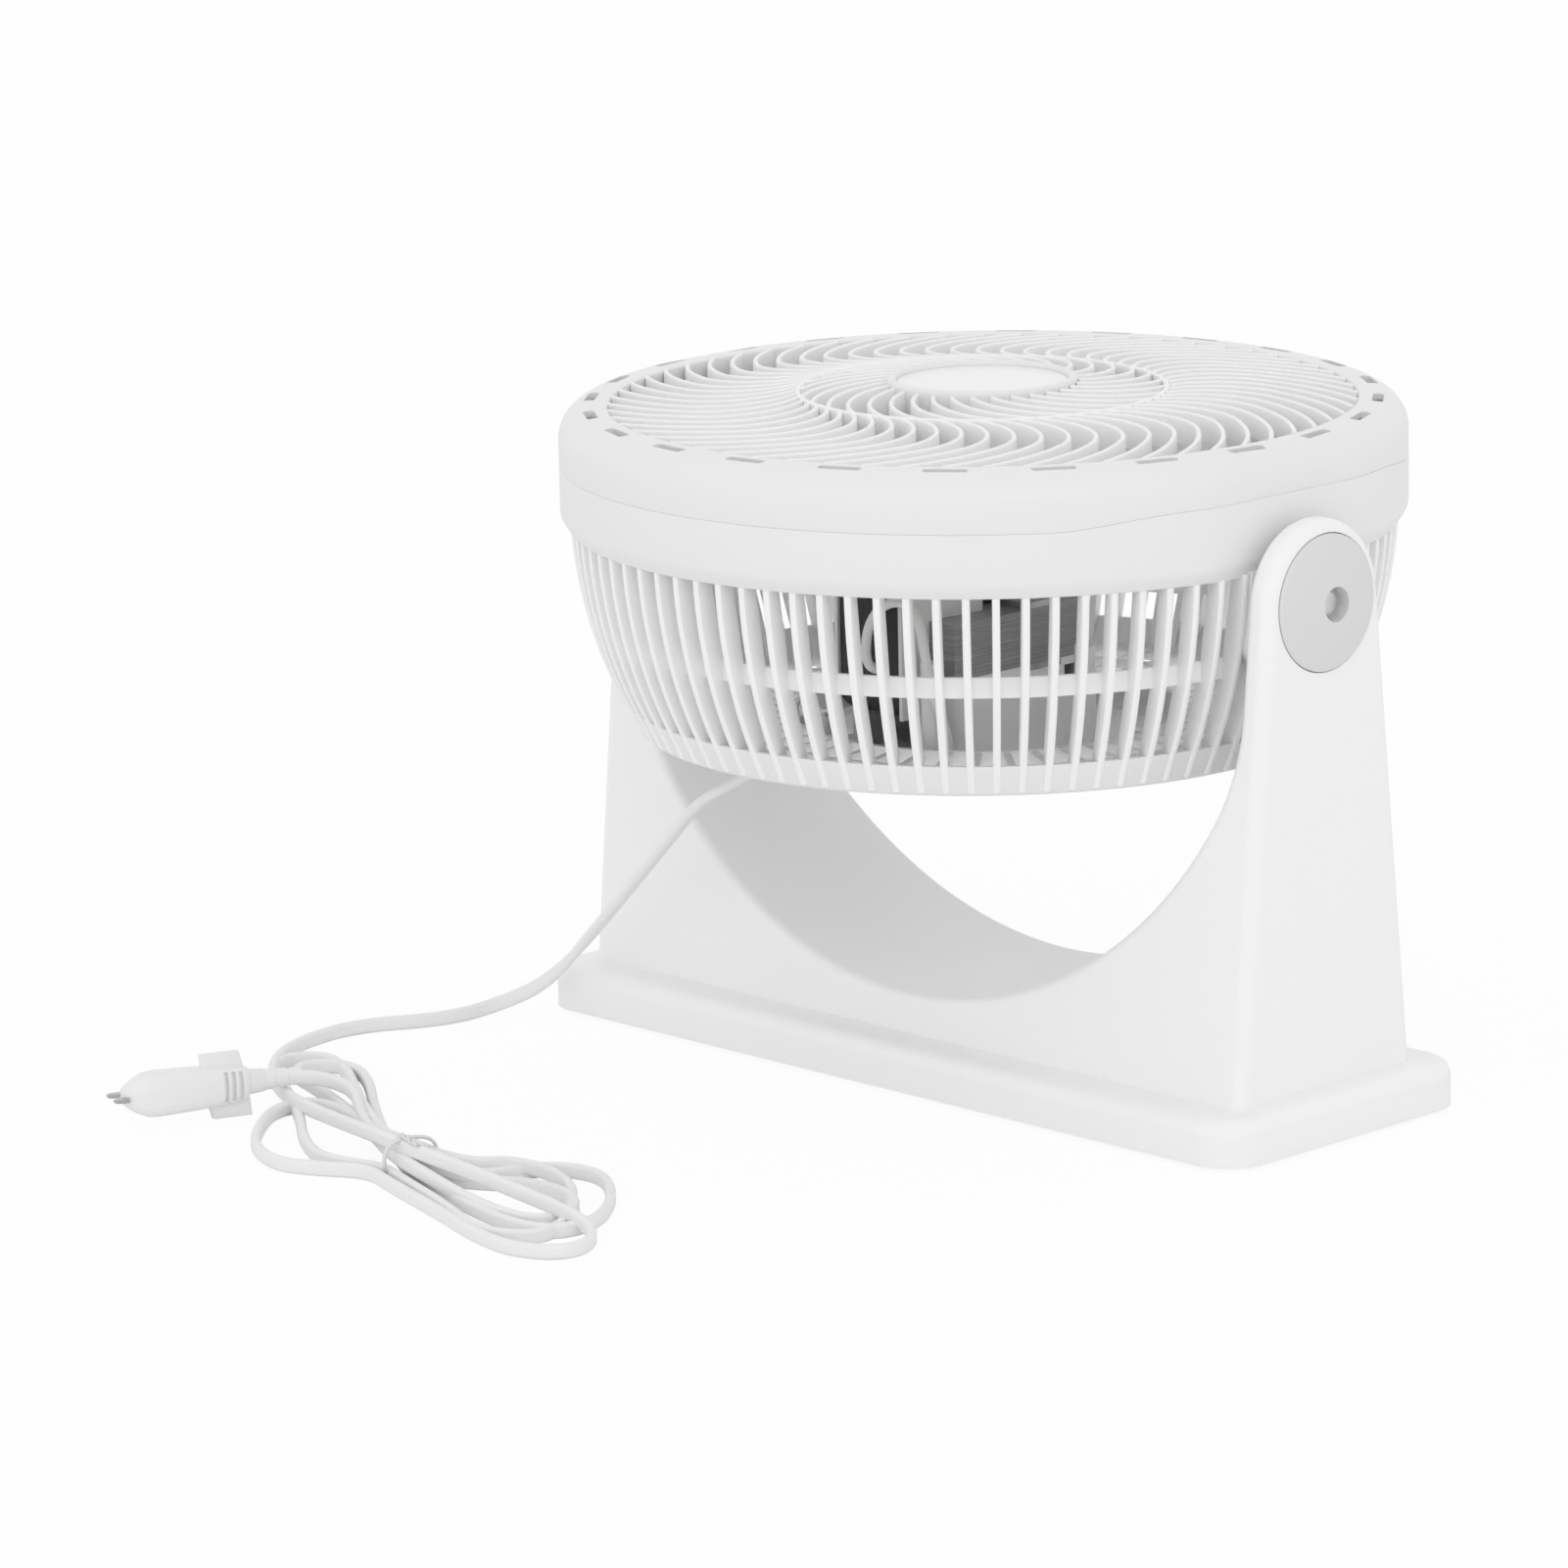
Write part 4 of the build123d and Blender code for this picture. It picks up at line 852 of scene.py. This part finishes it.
    def grip(self) -> Piece:
        """The tapered sleeve at the head, with rings that let it bend.

        Returns:
            The piece.
        """
        end, (wide, thin), steps = self.route[0], self.grip_radii, 40
        length = (Vector(end) - Vector(self.grip_start)).length
        profile = [(0.0, 0.0), (wide, 0.0)]
        for i in range(1, steps):
            t = i / steps
            dip = self.grip_groove if t > 0.3 and (t * 10) % 1 < 0.38 else 0.0
            profile.append((wide + (thin - wide) * t - dip, t * length))
        shell = turned([*profile, (thin - 0.4, length), (0.0, length)], 32, lift=0.0)
        sleeve = shell.moved(self.along(self.grip_start, end)).make("cord_grip_sleeve", Slot.VINYL, 40)
        return place(sleeve, Body.HEAD, "cord_grip")

    def tie(self) -> Piece:
        """The twist tie: a coated wire round the waist, its ends twisted and laid over.

        Returns:
            The piece.
        """
        (low, high), count, loop = self.tie_z, 48, []
        for i in range(count):
            c, s = math.cos(TWO_PI * i / count), math.sin(TWO_PI * i / count)
            loop.append(Vector((0.9 * s, self.tie_half * squared(c, 0.8),
                                (low + high) / 2 + (high - low) / 2 * squared(s, 0.8))))
        runs = [(loop[(i + 1) % count] - loop[i - 1]).normalized() for i in range(count)]
        rings = [oval(p, ALONG_X, run.cross(ALONG_X), 1.1, 0.7, 10) for p, run in zip(loop, runs)]
        shell = skinned(rings, closed=True)
        line = evenly(nurbs_line("tie_end", self.tie_ends), 0.9)
        for phase in (0.0, math.pi):
            turns = [phase + i * 0.62 for i in range(len(line))]
            wound = [p + Vector((0, math.cos(t), math.sin(t))) * 0.75 for p, t in zip(line, turns)]
            shell.join(skinned([oval(p, side, up, 0.75, 0.55, 8) for p, side, up in framed(wound)]))
        matrix = Matrix.Translation(self.tie_place) @ Matrix.Rotation(math.radians(self.tie_turn), 4, "Z")
        return place(shell.moved(matrix).make("twist_tie", Slot.TIE, 50), Body.STAND, "cord_tie")

    def plug_ring(self, distance: float, height: float, width: float, square: float,
                  slots: bool = False) -> list[Vector]:
        """One ring of the plug's body, a rounded box in section.

        Args:
            distance: from the nose.
            height: of the section, upright on the table.
            width: of the section.
            square: how square its corners are, 2 for an ellipse.
            slots: sinks the two rows of bending slots on each side.

        Returns:
            Its 48 points.
        """
        ring = []
        for i in range(48):
            turn = TWO_PI * (i + 0.5) / 48
            c, s = math.cos(turn), math.sin(turn)
            x, y = width / 2 * squared(c, 2 / square), height / 2 * squared(s, 2 / square)
            if slots and 0.12 < abs(y) / (height / 2) < 0.80 and abs(c) > 0.3:
                x *= 0.62
            ring.append(Vector((x, y, distance)))
        return ring

    def wing(self, low: float, high: float) -> Shell:
        """One finger wing of the plug, between two distances from its middle.

        Args:
            low: the lower one.
            high: the higher one.

        Returns:
            The shell.
        """
        (back, front), half, rings = self.wing_span, self.wing_half, []
        for y in (low, high):
            tip = 0.55 if abs(y) > 10 else 0.0
            ring = [(x, front - half - tip + z) for x, z in arc((half / 2, half / 2), half / 2 - 0.01, 0, 90, 3)]
            ring += [(-x, z) for x, z in reversed(ring)]
            ring += [(-x, back + front - z) for x, z in ring]
            rings.append([(x, y, z + self.wing_back + self.wing_lean * y) for x, z in ring])
        return skinned(rings)

    def plug(self) -> Piece:
        """The moulded plug: tapered nose, finger wings and a neck with three bending slots in each row.

        Returns:
            The piece.
        """
        rings = [self.plug_ring(*row) for row in self.plug_front]
        for step in range(3):
            start, high, wide = 38.4 + step * 3.0, 14.8 - step * 0.5, 13.2 - step * 0.6
            for out, less, sunk in ((0, 0, False), (0.15, 0, True), (1.6, 0.1, True), (1.75, 0.1, False)):
                rings.append(self.plug_ring(start + out, high - 2 * less, wide - 3 * less, 2.8, sunk))
        shell = skinned(rings + [self.plug_ring(*row) for row in self.plug_neck])
        near, far = self.wing_reach
        shell.join(self.wing(-far, -near))
        shell.join(self.wing(near, far))
        body = shell.moved(self.along(self.plug_nose, self.tail[-1])).make("plug_moulding", Slot.VINYL, 38, 0.25)
        return place(body, Body.STAND, "plug_body")

    def pins(self) -> Piece:
        """The two short flat pins, tapered towards their ends.

        Returns:
            The piece.
        """
        shell, end = Shell(), self.pin_length
        outline = ((1, -0.6), (1, 0.6), (0.8, 1), (-0.8, 1), (-1, 0.6), (-1, -0.6), (-0.8, -1), (0.8, -1))
        sizes = ((-1.0, 1.7, 0.85), (end - 1.6, 1.6, 0.8), (end - 0.5, 1.2, 0.6), (end, 0.8, 0.35))
        for side in (-self.pin_x, self.pin_x):
            shell.join(skinned([[(side + wide * x, high * y, -out) for x, y in outline] for out, wide, high in sizes]))
        pins = shell.moved(self.along(self.plug_nose, self.tail[-1])).make("plug_pin_blades", Slot.PIN, 30)
        return place(pins, Body.STAND, "plug_pins")

    def collar(self) -> Piece:
        """The soft sleeve between the plug and the cord.

        Returns:
            The piece.
        """
        length = self.collar_length
        profile = [(0.0, -0.6), (3.9, -0.6), (4.0, 0.4), (3.8, 4.0), (3.2, 4.3), (3.2, 5.6), (3.7, 5.9), (3.5, 9.4),
                   (3.05, 9.7), (3.05, 10.8), (3.4, 11.1), (3.25, length - 0.3), (2.9, length), (0.0, length)]
        shell = turned(profile, 28, lift=0.0).moved(self.along(self.tail[-1], self.tail[0]))
        return place(shell.make("plug_collar", Slot.VINYL, 40), Body.STAND)

    def build(self) -> list[Piece]:
        """Returns:
            The pieces.
        """
        cord, pieces = self.flex(), [self.tie(), self.plug(), self.pins(), self.collar()]
        length = sum((b - a).length for a, b in zip(self.line, self.line[1:]))
        log.info("the cord is %.0f mm long", length)
        sleeve = self.grip()
        [tuple(p * MM) for p in self.line]
        return [cord, *pieces, sleeve]


# ---------------------------------------------------------------- the head
@dataclass
class HeadMoulding:
    """What the front and the rear moulding share: their outside and the parting line between them."""

    radius: float = 159.95
    flat: float = 155.2
    parting: float = 34.5
    climb_by: float = 4.0
    climb_from: float = 128.0
    climb_to: float = 153.0

    def climb(self, shell: Shell) -> Shell:
        """Raises the parting edge where it crosses the side flats.

        Args:
            shell: the moulding's wall.

        Returns:
            The same shell.
        """
        for point in shell.points:
            if abs(point.z - TILT_AXIS_Z - self.parting) < 1.0:
                point.z += self.climb_by * eased((abs(point.x) - self.climb_from) / (self.climb_to - self.climb_from))
        return shell


@dataclass
class FrontGrille(HeadMoulding):
    """The front moulding: rounded ring with its slots, spiral vanes, middle ring and hub rim."""

    top: float = 56.1
    opening: float = 141.2
    shoulder: float = 12.0
    slots: int = 24
    slot_phase: float = 9.0
    slot_radius: float = 148.6
    slot_size: Flat = (4.2, 16.4)
    slot_corner: float = 0.96
    vane_thickness: float = 1.8
    vane_flare: float = 0.15
    vane_bottom: float = 49.0
    outer_vanes: int = 60
    inner_vanes: int = 30
    mid_ring: Flat = (69.5, 60.1)
    hub: Flat = (36.0, 64.4)
    # (centre, radius, first and last direction, steps) of the arcs in a vane's plan
    outer_arcs: tuple = (((94.61, -13.24), 28.4, 149.3, 54.5, 16), ((62.36, -58.48), 83.94, 54.5, 24.0, 10))
    inner_arcs: tuple = (((22.52, 31.81), 36.87, -68.5, 5.3, 14),)

    def side_flat(self, x: float, radius: float) -> float:
        """x of a point of the ring, once the wall outside the shoulder is flattened beside the arms."""
        outside = radius > self.radius - self.shoulder
        return flattened(x, self.flat - 0.6 * (self.radius - radius)) if outside else x

    def slot_knife(self) -> Shell:
        """The prisms that cut the slots.

        Returns:
            The shell.
        """
        wide, long, corner = self.slot_size[0] / 2, self.slot_size[1] / 2, self.slot_corner
        quarter = [(wide, long - corner), (wide - corner, long)]
        half = [*quarter, *((-x, y) for x, y in reversed(quarter))]
        outline = [*half, *((x, -y) for x, y in reversed(half))]
        prism = skinned([[(self.slot_radius + x, y, TILT_AXIS_Z + h) for x, y in outline]
                         for h in (self.top - 6, self.top + 3)])
        knife = Shell()
        for i in range(self.slots):
            turn = math.radians(self.slot_phase + 360 * i / self.slots)
            knife.join(prism.moved(Matrix.Rotation(turn, 4, "Z")))
        return knife

    def ring(self) -> Piece:
        """The ring, its upper edge rounded and its slots cut through.

        Returns:
            The piece.
        """
        radius, opening, parting, top = self.radius, self.opening, self.parting, self.top
        profile = [(radius - 0.35, parting), (radius - 0.1, parting + 0.15), (radius, parting + 0.45),
                   *arc((radius - self.shoulder, top - self.shoulder), self.shoulder, 0, 90, 12),
                   *arc((opening + 1.2, top - 1.2), 1.2, 90, 180, 4),
                   (opening, top - 9.5), (opening + 2.4, top - 9.5), (opening + 2.4, top - 2.4),
                   (opening + 9, top - 2.4), (radius - 2.4, top - 10), (radius - 4.6, parting + 3.5),
                   (radius - 4.6, parting - 7), (radius - 2.6, parting - 7), (radius - 2.6, parting)]
        ring = self.climb(turned(profile, 288, self.side_flat)).make("front_ring", Slot.SHELL, 35)
        knife = self.slot_knife().make("slot_knife", Slot.SHELL, 35)
        cut = ring.modifiers.new("slots", "BOOLEAN")
        cut.object, cut.operation, cut.solver = knife, "DIFFERENCE", "EXACT"
        keep_shape(ring)
        bpy.data.objects.remove(knife)
        return place(dress(ring, Slot.SHELL, 35), Body.HEAD, "front_grille")

    def vane(self, name: str, arcs: Sequence[tuple], inner_h: float, outer_h: float) -> Piece:
        """One vane with a rounded upper edge.

        Args:
            name: of the piece.
            arcs: its plan.
            inner_h: height of its upper edge at its inner end.
            outer_h: the same at its outer end.

        Returns:
            The object.
        """
        plan = []
        for part in arcs:
            plan += [Vector((*p, 0)) for p in arc(*part)][1 if plan else 0:]
        rings, half, last = [], self.vane_thickness / 2, len(plan) - 1
        foot = half + self.vane_flare
        for i, point in enumerate(plan):
            run = (plan[min(i + 1, last)] - plan[max(i - 1, 0)]).normalized()
            across = Vector((-run.y, run.x, 0))
            top = inner_h + (outer_h - inner_h) * i / last - half
            section = [(-foot, self.vane_bottom), *reversed(arc((0, top), half, 0, 180, 6)), (foot, self.vane_bottom)]
            rings.append([point + across * x + Vector((0, 0, TILT_AXIS_Z + h)) for x, h in section])
        return skinned(rings).make(name, Slot.SHELL, 40)

    def hoops(self) -> list[Piece]:
        """The ring between the two rows of vanes and the rim of the hub.

        Returns:
            The two pieces.
        """
        (radius, top), bottom = self.mid_ring, self.vane_bottom
        between = turned([*arc((radius, top - 0.85), 1, 0, 180, 8), (radius - 1, bottom), (radius + 1, bottom)], 160)
        radius, top = self.hub
        rim = turned([*arc((radius - 1.8, top - 1.8), 1.8, 0, 180, 10), (radius - 3.6, top - 3.6), (0.01, top - 3.6),
                      (0.01, top - 6), (radius - 2.4, top - 6), (radius - 2.4, bottom), (radius, bottom)], 128)
        return [place(shell.make(name, Slot.SHELL, 40), Body.HEAD)
                for name, shell in (("grille_mid_ring", between), ("grille_hub", rim))]

    def build(self) -> list[Piece]:
        """Builds the whole front.

        Returns:
            The pieces.
        """
        ring, middle_h = self.ring(), self.mid_ring[1]
        outer = self.vane("outer_vanes", self.outer_arcs, middle_h, self.top)
        inner = self.vane("inner_vanes", self.inner_arcs, self.hub[1] - 1.8, middle_h)
        rows = [place(around(vane, count), Body.HEAD)
                for vane, count in ((outer, self.outer_vanes), (inner, self.inner_vanes))]
        return [ring, *rows, *self.hoops()]


@dataclass
class RearCage(HeadMoulding):
    """The rear moulding: band, ribs, support ring, rim, back grille, housing and pivots."""

    ribs: int = 90
    rib_phase: float = -0.3
    rib_thickness: float = 2.9
    rib_round: float = 1.1
    rib_line: tuple = ((156.2, 11.5), (150.0, -26.0), (138.4, -55.5), (133.2, -66.2))
    rib_back: tuple = ((148.8, 11.5), (142.7, -22.8), (131.2, -55.5), (128.6, -66.2))
    support: Point = (143.4, -21.1, 7.6)
    back: float = -68.3
    slat_end: float = 123.0
    housing: Flat = (76.0, -79.5)

    def side_flat(self, x: float, radius: float) -> float:
        """x of a point of the band, once it is flattened beside the arms."""
        return flattened(x, self.flat - 0.9 * max(0.0, min(self.radius - radius, 2.4)))

    def band(self) -> Piece:
        """The plain band under the front ring.

        Returns:
            The piece.
        """
        radius, parting = self.radius, self.parting
        shell = turned([(radius - 2.4, parting), (radius - 0.35, parting), (radius - 0.1, parting - 0.15),
                        (radius, parting - 0.45), (radius, 17.2), (159.7, 15.6), (158.9, 14.1), (156.7, 10.9),
                        (156.2, 10.4), (155.6, 10.3), (153.9, 10.3), (153.9, 11.7), (157.6, 16.9)], 288, self.side_flat)
        return place(self.climb(shell).make("cage_band", Slot.SHELL, 42), Body.HEAD, "rear_shell")

    def rib(self) -> Piece:
        """One rib: bowed outside, rounded along its outer edge, its toe proud of the rim.

        Returns:
            The piece.
        """
        top, middle, low, toe = self.rib_line
        outer = [*arc_through(top, middle, low, 12), toe, (toe[0] - 1.3, toe[1] - 0.8)]
        radii, heights = zip(*reversed(self.rib_back))
        half, edge, rings = self.rib_thickness / 2, self.rib_round, []
        for i, (radius, h) in enumerate(outer):
            back = float(np.interp(h, heights, radii))
            thin = half * (0.45 if i == len(outer) - 1 else 1.0)
            nose = [(radius - edge + edge * c, thin * s) for c, s in arc((0, 0), 1, -90, 90, 6)]
            rings.append([(r, w, h + TILT_AXIS_Z) for r, w in ((back, -half * 0.85), *nose, (back, half * 0.85))])
        return skinned(rings).make("cage_ribs", Slot.SHELL, 50)

    def hoops(self) -> list[Piece]:
        """The support ring inside the ribs, the rim below them and the ring of the back.

        Returns:
            The three pieces.
        """
        (radius, top, height), back = self.support, self.back
        support = turned([*arc((radius - 0.5, top - 0.5), 0.5, 0, 90, 3),
                          *arc((radius - 1.9, top - 0.5), 0.5, 90, 180, 3),
                          (radius - 2.4, top - height), (radius, top - height)], 240)
        rim = turned([(137.4, -55.7), (137.1, -56.6), (132.4, -66.0), (131.4, -67.2), (129.4, -68.0), (126.5, back),
                      (121, back), (121, back + 2.6), (128, back + 2.6), (135.2, -55.7), (135.5, -55.4),
                      (137.1, -55.4)], 288)
        ring = turned([(101.2, -67.7), (101.2, -63.7), (98.8, -63.7), (98.8, -67.7)], 160)
        return [place(shell.make(name, Slot.SHELL, sharp, bevel), Body.HEAD) for name, shell, sharp, bevel in
                (("cage_support_ring", support, 50, 0), ("cage_rim", rim, 28, 0), ("back_ring", ring, 40, 0.3))]

    def slat(self) -> Piece:
        """One radial slat of the back.

        Returns:
            The piece.
        """
        low, ease = self.back + TILT_AXIS_Z, 0.01
        near, far, half = self.housing[0] - 1 + ease, self.slat_end - ease, self.rib_thickness / 2 - ease
        corners = ((far, half, 0), (near, half, 90), (near, -half, 180), (far, -half, 270))
        outline = [p for x, y, start in corners for p in arc((x, y), ease, start, start + 90, 4)]
        shell = skinned([[(x, y, z) for x, y in outline] for z in (low + 0.2, low + 4)])
        return shell.make("back_slats", Slot.SHELL, 40, 0.35)

    def drum(self) -> Piece:
        """The raised round housing of the motor and the switch.

        Returns:
            The piece.
        """
        radius, low = self.housing
        shell = turned([(radius, -63.7), *arc((radius - 5, low + 5), 5, 0, -90, 8), (5.4, low), (5.0, low + 0.4),
                        (5.0, low + 2.4), (radius - 6, low + 2.4), (radius - 2.4, low + 6), (radius - 2.4, -63.7)], 160)
        return place(shell.make("back_housing", Slot.SHELL, 40), Body.HEAD)

    def pivot(self, name: str, side: int) -> list[Piece]:
        """The pad in the cage wall with its spindle.

        Args:
            name: left or right.
            side: -1 or 1.

        Returns:
            The two pieces.
        """
        outline = [(21.0, 12.3), (-21.0, 12.3), *arc((-12.0, -15.0), 9.0, 180, 270, 6),
                   *arc((12.0, -15.0), 9.0, 270, 360, 6)]
        pad = skinned([[(side * x, y, h + TILT_AXIS_Z) for y, h in outline] for x in (self.flat - 6, self.flat - 0.02)])
        spindle = turned([(0.01, self.flat - 1), (15.0, self.flat - 1), (15.0, 158.9), (14.5, 159.4), (9.0, 159.4),
                          (9.0, 168.5), (8.6, 168.9), (0.01, 168.9)], 64, lift=0.0)
        turn = Matrix.Translation((0, 0, TILT_AXIS_Z)) @ Matrix.Rotation(math.radians(90 * side), 4, "Y")
        return [place(pad.make(f"pivot_pad_{name}", Slot.SHELL, 40, 0.6), Body.HEAD),
                place(spindle.moved(turn).make(f"pivot_spindle_{name}", Slot.SHELL, 40), Body.HEAD)]

    def build(self) -> list[Piece]:
        """Builds the whole rear shell.

        Returns:
            The pieces.
        """
        return [self.band(), place(around(self.rib(), self.ribs, self.rib_phase), Body.HEAD),
                place(around(self.slat(), self.ribs // 2, self.rib_phase), Body.HEAD), *self.hoops(), self.drum(),
                *self.pivot("right", 1), *self.pivot("left", -1)]


# ---------------------------------------------------------------- the motor
@dataclass
class Motor:
    """The open motor low in the cage: laminated stack, taped coil and the sleeve over it."""

    width: float = 61.0
    depth: Flat = (-48.0, 24.0)
    bore: float = 14.0
    stack: Flat = (-41.6, -20.3)
    sheets: int = 43
    sheet_play: float = 0.14
    coil_half: float = 15.6
    coil_corner: float = 7.0
    coil_y: Flat = (-63.0, -19.5)
    coil_h: Flat = (-56.0, -6.0)
    # where the winding's rings lie along X, from end to end; every other one is sunk a little
    coil_steps: tuple[float, ...] = (-1, -0.985, -0.9, -0.72, -0.7, -0.45, -0.43, -0.15, -0.13, 0.15, 0.17, 0.45, 0.47,
                                     0.74, 0.76, 0.9, 0.985, 1)
    sleeve_radius: float = 1.9
    sleeve_line: tuple[Point, ...] = (
        (6, -62.3, -38), (5, -67, -37), (4.5, -69, -31), (6, -69, -21), (12, -69, -12.5), (21, -69, -8.6),
        (29, -69, -9.5), (33.5, -69, -16), (34.5, -68, -26), (34.5, -65, -40), (34, -59, -53), (34, -55, -64),
        (34, -55, -75.1),
    )

    def laminations(self) -> Piece:
        """The stack: thin sheets round the bore, each a hair out of line.

        Returns:
            The piece.
        """
        inset = self.sheet_play + 0.01
        half, back, front = self.width / 2 - inset, self.depth[0] + inset, self.depth[1] - inset
        corners = [math.atan2(y, x) % TWO_PI for x, y in ((half, front), (-half, front), (-half, back), (half, back))]
        turns = sorted({*corners, *(TWO_PI * i / 48 for i in range(48))})
        outer = []
        for turn in turns:
            c, s = math.cos(turn), math.sin(turn)
            reach = min(half / max(abs(c), 1e-9), (front if s > 0 else -back) / max(abs(s), 1e-9))
            outer.append((reach * c, reach * s))
        inner = [(self.bore * math.cos(t), self.bore * math.sin(t)) for t in turns]
        pitch = (self.stack[1] - self.stack[0]) / self.sheets
        low = self.stack[0] + TILT_AXIS_Z
        high = low + pitch * 0.8
        shell = skinned([[(x, y, z) for x, y in loop] for loop, z in
                         ((outer, low), (outer, high), (inner, high), (inner, low))], closed=True)
        values = {"Count": self.sheets, "Pitch": pitch * MM, "Play": self.sheet_play * MM, "Seed": 11}
        sheets = run_tree(shell.make("motor_laminations", Slot.CORE, 40), sheet_stack(), Slot.CORE, values)
        return place(sheets, Body.HEAD, "motor_stack")

    def coil(self) -> Piece:
        """The winding in its tape, a little crowned between the flanges.

        Returns:
            The piece.
        """
        (back, front), (low, high), rings, inward = self.coil_y, self.coil_h, [], self.coil_corner + 0.3
        for i, t in enumerate(self.coil_steps):
            corner, ring = inward - 1.1 * abs(t) ** 6 - 0.18 * (i % 2), []
            for y, h, start in ((front - inward, high - inward, 0), (back + inward, high - inward, 90),
                                (back + inward, low + inward, 180), (front - inward, low + inward, 270)):
                ring += arc((y, h), corner, start, start + 90, 6)
            rings.append([(t * self.coil_half, y, h + TILT_AXIS_Z) for y, h in ring])
        return place(skinned(rings).make("motor_winding", Slot.TAPE, 30), Body.HEAD, "motor_coil")

    def sleeve(self) -> Piece:
        """The white sleeve that carries the lead in an arch over the winding.

        Returns:
            The piece.
        """
        line = evenly(nurbs_line("sleeve_line", [(x, y, h + TILT_AXIS_Z) for x, y, h in self.sleeve_line]), 1.5)
        radius = self.sleeve_radius
        shell = skinned([oval(p, side, up, radius, radius, 14) for p, side, up in framed(line)])
        return place(shell.make("motor_lead_sleeve", Slot.SLEEVE, 50), Body.HEAD, "lead_sleeve")

    def build(self) -> list[Piece]:
        """The motor's own pieces."""
        return [self.laminations(), self.coil(), self.sleeve()]


# ---------------------------------------------------------------- the studio
@dataclass
class Studio:
    """The photograph's camera, a pale table and soft light."""

    eye: Point = (1959.8066, -2009.4228, 757.72)
    yaw: float = 45.868
    pitch: float = -13.029
    roll: float = -1.162
    focal_px: float = 7721.28
    photo_px: int = 1601
    sensor: float = 36.0
    surround: float = 0.87
    table_half: float = 9000.0
    table_white: float = 0.95
    table_glow: float = 0.93

    def camera(self) -> None:
        """Makes the camera at the photograph's place."""
        yaw, pitch, roll = (math.radians(a) for a in (self.yaw, self.pitch, self.roll))
        ahead = Vector((-math.sin(yaw) * math.cos(pitch), math.cos(yaw) * math.cos(pitch), math.sin(pitch)))
        level = Vector((math.cos(yaw), math.sin(yaw), 0))
        above = level.cross(ahead)
        right = level * math.cos(roll) + above * math.sin(roll)
        up = above * math.cos(roll) - level * math.sin(roll)
        data = bpy.data.cameras.new("photo_camera")
        data.sensor_width, data.lens = self.sensor, self.focal_px * self.sensor / self.photo_px
        data.clip_start, data.clip_end = 0.1, 100.0
        camera = bpy.data.objects.new("photo_camera", data)
        matrix = Matrix((right, up, -ahead)).transposed().to_4x4()
        matrix.translation = Vector(self.eye) * MM
        camera.matrix_world = matrix
        bpy.context.scene.collection.objects.link(camera)
        bpy.context.scene.camera = camera

    def lamp(self, name: str, spot: Point, aim: Point, size: float, power: float) -> None:
        """Adds one soft lamp.

        Args:
            name: of the lamp.
            spot: where it stands, in metres.
            aim: the point it faces, in metres.
            size: the side of its square.
            power: in watts.
        """
        data = bpy.data.lights.new(name, "AREA")
        data.size, data.energy = size, power
        lamp = bpy.data.objects.new(name, data)
        lamp.location = spot
        lamp.rotation_euler = (Vector(aim) - Vector(spot)).to_track_quat("-Z", "Y").to_euler()
        bpy.context.scene.collection.objects.link(lamp)

    def light(self) -> None:
        """Soft studio light from both sides, over an even white surround."""
        scene = bpy.context.scene
        scene.view_settings.view_transform = "Standard"
        scene.world = bpy.data.worlds.new("surround")
        scene.world.use_nodes = True
        graph = Graph(scene.world.node_tree)
        path = graph.add("ShaderNodeLightPath").outputs
        seen = graph.math("MAXIMUM", path["Is Camera Ray"], path["Is Glossy Ray"])
        graph.feed(graph.tree.nodes["Background"], {
            "Color": (1, 1, 1, 1), "Strength": graph.math("MULTIPLY_ADD", seen, 1 - self.surround, self.surround)})
        self.lamp("key", (1.9, -1.3, 1.7), (0, 0, 0.1), 1.8, 5)
        self.lamp("fill", (0.3, -2.2, 0.5), (0, 0, 0.05), 1.6, 2.5)

    def table(self) -> None:
        """A white table that keeps the object's shadow."""
        half = self.table_half * MM
        mesh = bpy.data.meshes.new("table_top")
        mesh.from_pydata([(-half, -half, 0), (half, -half, 0), (half, half, 0), (-half, half, 0)], [], [(0, 1, 2, 3)])
        table = bpy.data.objects.new("table_top", mesh)
        bpy.context.scene.collection.objects.link(table)
        material = bpy.data.materials.new("white_table")
        material.use_nodes = True
        graph, nodes = Graph(material.node_tree), material.node_tree.nodes
        shader, white = nodes["Principled BSDF"], (self.table_white,) * 3
        graph.feed(shader, {"Base Color": (*white, 1), "Roughness": 0.9, "Specular IOR Level": 0.0})
        seen = graph.add("ShaderNodeLightPath").outputs["Is Camera Ray"]
        glow = graph.add("ShaderNodeEmission", {"Strength": 1.0})
        mix = graph.add("ShaderNodeMixShader", {"Fac": graph.math("MULTIPLY", seen, self.table_glow),
                                                1: shader.outputs[0], 2: glow.outputs[0]})
        graph.feed(nodes["Material Output"], {"Surface": mix.outputs[0]})
        mesh.materials.append(material)

    def build(self) -> None:
        """Sets the whole scene up."""
        self.camera()
        self.light()
        self.table()


def main() -> None:
    """Builds the fan piece by piece and reports each."""
    logging.basicConfig(level=logging.INFO, format="%(message)s")
    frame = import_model()
    Studio().build()
    for assembly in (MainsCord(), FrontGrille(), RearCage(), Motor()):
        for piece in assembly.build():
            log.info("%s: %s, %d faces", type(assembly).__name__, piece.name, len(piece.data.polygons))
    slots = {part["node"]: Slot(part["material_slot"]) for part in frame["record"]["subparts"]}
    for node, piece in frame["nodes"].items():
        log.info("CAD node: %s in %s", node, paint(piece, slots[node]).name)


if __name__ == "__main__":
    main()
